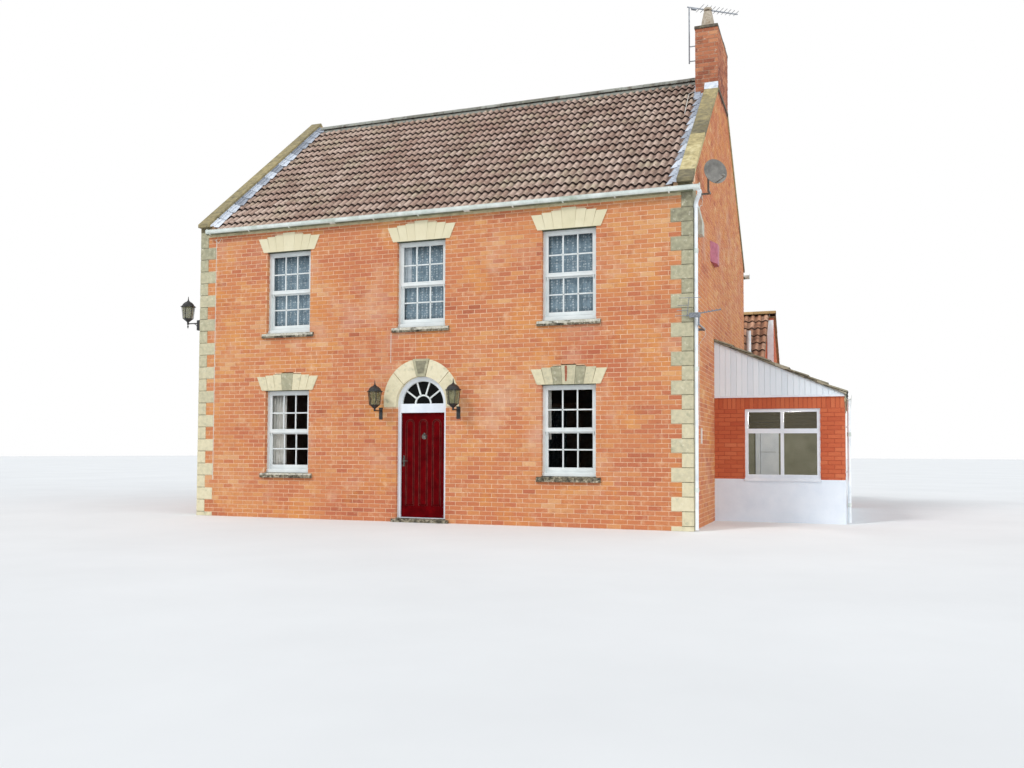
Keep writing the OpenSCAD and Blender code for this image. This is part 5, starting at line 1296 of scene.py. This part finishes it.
def extension_joinery(m):
    """Upright boards in the gable of the lean-to, its trims, the lining of the room and the inner door."""
    boards, rng, low = Pile(), random.Random(25), 2.266
    top = lambda x: ext_z(x) - 0.081
    x = HW + 0.001
    while x < EXT_R - 0.004:
        stop = min(x + 0.100, EXT_R)
        line = [(x + 0.0015, low), (stop - 0.0015, low), (stop - 0.0015, top(stop)), (x + 0.0015, top(x))]
        boards.prism(line, flat_xz, EXT_FRONT - 0.024, EXT_FRONT - 0.004, rng.random(), 0.003)
        x = stop
    backing = [(HW, low), (EXT_R, low), (EXT_R, top(EXT_R)), (HW, top(HW))]
    boards.prism(backing, flat_xz, EXT_FRONT - 0.0045, EXT_FRONT - 0.001, 0.0)
    boards.piece("cladding_boards", m["cladding"], "white_plastic", "extension_cladding")
    trims, (left, right) = Pile(), EXT_WIN[:2]
    trims.box(HW + 0.002, EXT_R, EXT_FRONT - 0.030, EXT_FRONT - 0.024, 2.256, 2.292, 0.5, 0.002)
    trims.box(left + 0.058, right - 0.058, EXT_FRONT + 0.018, EXT_FRONT + 0.022, 1.605, 1.690, 0.5, 0.0015)
    for a, b in ((left - 0.0195, left - 0.0005), (right + 0.0005, right + 0.0195)):
        trims.box(a, b, EXT_FRONT - 0.012, EXT_FRONT + 0.001, 0.7425, 0.777, 0.5, 0.001)
    trims.piece("cladding_trims", m["white_frame"], "white_plastic")
    lining, floor, thick = Pile(), 0.07, 0.010
    x0, x1, y0, y1 = HW + 0.002, EXT_R - 0.252, EXT_FRONT + 0.27, HD - 0.252
    lining.box(x0, x1, y1 - thick, y1, floor, 2.28, 0.5, 0.002)
    lining.box(x1 - thick, x1, y0, y1 - thick - 0.002, floor, 2.28, 0.5, 0.002)
    lining.box(x0, x0 + thick, y0, y1 - thick - 0.002, floor, 2.80, 0.5, 0.002)
    lining.piece("room_lining", m["plaster"], "white_render")
    # Six boards across the back over the inner door, and one across the ceiling
    ceiling = Pile()
    for i in range(6):
        z = 1.800 + 0.08 * i
        ceiling.box(HW + 0.014, EXT_R - 0.264, HD - 0.400, HD - 0.385, z, z + 0.078, 0.5, 0.002)
    ceiling.box(HW + 0.014, EXT_R - 0.264, EXT_FRONT + 0.262, HD - 0.402, 2.285, 2.300, 0.5, 0.002)
    ceiling.piece("room_boards", m["dark_boards"], "floor_boards")
    inner, y, foot = Pile(), HD - 0.330, 0.071
    inner.ribbon([(5.085, foot), (5.085, 1.96), (5.53, 1.96), (5.53, foot)], 0.045, flat_xz, y + 0.03,
                 y + 0.05)
    inner.box(5.055, 5.165, y - 0.03, y + 0.03, foot, 1.99, 0.5, 0.004)
    for z0, z1 in ((0.14, 1.270), (1.276, 1.93)):
        inner.box(5.170, 5.578, y + 0.002, y + 0.028, z0, z1, 0.5, 0.003)
    inner.box(5.120, 5.140, y - 0.045, y - 0.028, 1.10, 1.20, 0.5, 0.003)
    inner.piece("inner_door", m["white_frame"], "white_frame")


# ---------------------------------------------------------------- curtains

def hanging(name, x0, x1, y, z0, z1, folds, depth, surface):
    """A cloth that hangs straight down in soft folds."""
    steps, rows, thick = folds * 10, 6, 0.0008
    rng = random.Random(name)
    swing = [rng.uniform(0.6, 1.3) for _ in range(folds + 1)]
    centre, grid = [], []
    for r in range(rows + 1):
        row = []
        for i in range(steps + 1):
            t = i / steps
            fade = swing[min(folds, int(t * folds + 0.5))]
            sway = 0.15 * depth * math.sin(9 * t + 0.7 * r)
            row.append((x0 + (x1 - x0) * t, y + depth * fade * math.sin(2 * math.pi * folds * t) + sway,
                        z1 + (z0 - z1) * r / rows))
        centre.append(row)
    for shift in (-thick / 2, thick / 2):
        grid.append([[(a, b + shift, c) for a, b, c in row] for row in centre])
    points = [q for side in grid for row in side for q in row]
    wide = steps + 1
    at = lambda s, r, i: s * (rows + 1) * wide + r * wide + i
    faces = []
    for r in range(rows):
        for i in range(steps):
            faces.append((at(0, r, i), at(0, r + 1, i), at(0, r + 1, i + 1), at(0, r, i + 1)))
            faces.append((at(1, r, i), at(1, r, i + 1), at(1, r + 1, i + 1), at(1, r + 1, i)))
        for i in (0, steps):
            rim = (at(0, r, i), at(1, r, i), at(1, r + 1, i), at(0, r + 1, i))
            faces.append(rim if i == 0 else rim[::-1])
    for i in range(steps):
        for r in (0, rows):
            rim = (at(0, r, i), at(0, r, i + 1), at(1, r, i + 1), at(1, r, i))
            faces.append(rim if r == 0 else rim[::-1])
    data = bpy.data.meshes.new(name)
    data.from_pydata(points, [], faces)
    bm = bmesh.new()
    bm.from_mesh(data)
    bmesh.ops.recalc_face_normals(bm, faces=bm.faces)
    bm.to_mesh(data)
    bm.free()
    for face in data.polygons:
        face.use_smooth = True
    made = piece(name, data, surface)


def hang_curtains(m):
    """Nets in the upper front windows, a few drawn curtains, and a net in each rear window."""
    left, middle, right = COLUMNS
    upper, lower, front = ["upper_window_frames"], ["lower_window_frames"], -HD + 0.196
    for name, x in (("left", left), ("middle", middle), ("right", right)):
        hanging(f"upper_{name}_net", x - 0.44, x + 0.44, front, UP_Z + 0.03, UP_Z + WIN_H - 0.05, 9, 0.010,
                m["net"])
    hanging("upper_middle_curtain", middle - 0.43, middle - 0.27, -HD + 0.178, UP_Z + 0.75,
            UP_Z + WIN_H - 0.04, 3, 0.005, m["white_cloth"])
    hanging("lower_left_curtain", left - 0.45, left - 0.13, front, LOW_Z + 0.02, LOW_Z + WIN_H - 0.04,
            5, 0.016, m["curtain"])
    hanging("lower_right_curtain", right - 0.45, right - 0.36, front, LOW_Z + 0.62, LOW_Z + WIN_H - 0.04,
            2, 0.012, m["curtain"])
    names = ("upper_left", "upper_middle", "lower_left", "lower_middle", "wing_left", "wing_right")
    for name, (x, z) in zip(names, REAR_WINDOWS + WING_WINDOWS):
        wall_y = WING_B if name.startswith("wing") else HD
        hanging(f"rear_{name}_net", x - 0.45, x + 0.45, wall_y - 0.196, z + 0.02, z + WIN_H - 0.03, 8, 0.010,
                m["net"])


make_camera()
make_light()
M = make_materials()
for build in (lay_house, tile_roofs, corner_stones, lintel_stones, arch_stones, coping_stones, chimney_top,
              leadwork, rainwater_fittings, clipped_leads, gable_boxes, lantern_ironwork, window_joinery,
              doorway_joinery, extension_joinery, hang_curtains):
    build(M)

# What is left bare of the solids, and the ones that a piece replaces, each with its surface
COATS = {
    "mortar": "front_wall_left front_wall_right front_wall_over_door rear_wall left_gable_wall "
              "right_gable_wall",
    "old_mortar": "chimney_stack", "dark_mortar": "extension_walls wing_walls",
    "stone": "quoins window_lintels door_arch", "coping": "gable_copings", "sill": "window_sills door_step",
    # The stack's band takes the dark cap stone as painted shade at the stack's foot
    "cap": "chimney_cap chimney_band", "tile": "main_roof", "ridge": "ridge_tiles",
    "mossy_tile": "extension_roof", "pantile": "wing_roof", "floor": "ground_floor", "boards": "upper_floor",
    "frame": "upper_window_frames lower_window_frames", "white_frame": "door_frame extension_window",
    "glass": "upper_window_glass extension_glass", "dim_glass": "lower_window_glass",
    "fanlight": "fanlight_glass", "door": "front_door", "brass": "door_hinges frame_hinges",
    "pewter": "door_knocker door_handle", "pot": "chimney_pot", "lead": "roof_flashings",
    "fascia": "fascia_boards", "gutter": "gutters", "pipe": "downpipes wing_bargeboards",
    "cladding": "extension_cladding", "render": "extension_plinth", "iron": "wall_lanterns",
    "amber": "lantern_glass", "dish": "satellite_dish", "aerial": "tv_aerials", "alarm": "wall_boxes",
    "cable": "wall_cables"}
for surface, names in COATS.items():
    dress(M[surface], *names.split())

ground = bpy.data.meshes.new("studio_floor")
ground.from_pydata([(-150, -60, 0), (150, -60, 0), (150, 240, 0), (-150, 240, 0)], [], [(0, 1, 2, 3)])
studio_floor = in_scene("studio_floor", ground)
ground.materials.append(material("studio_floor_paint", "#dededd #e4e4e3", 0.9, grain=3000))

bpy.context.scene.view_settings.view_transform = "Standard"
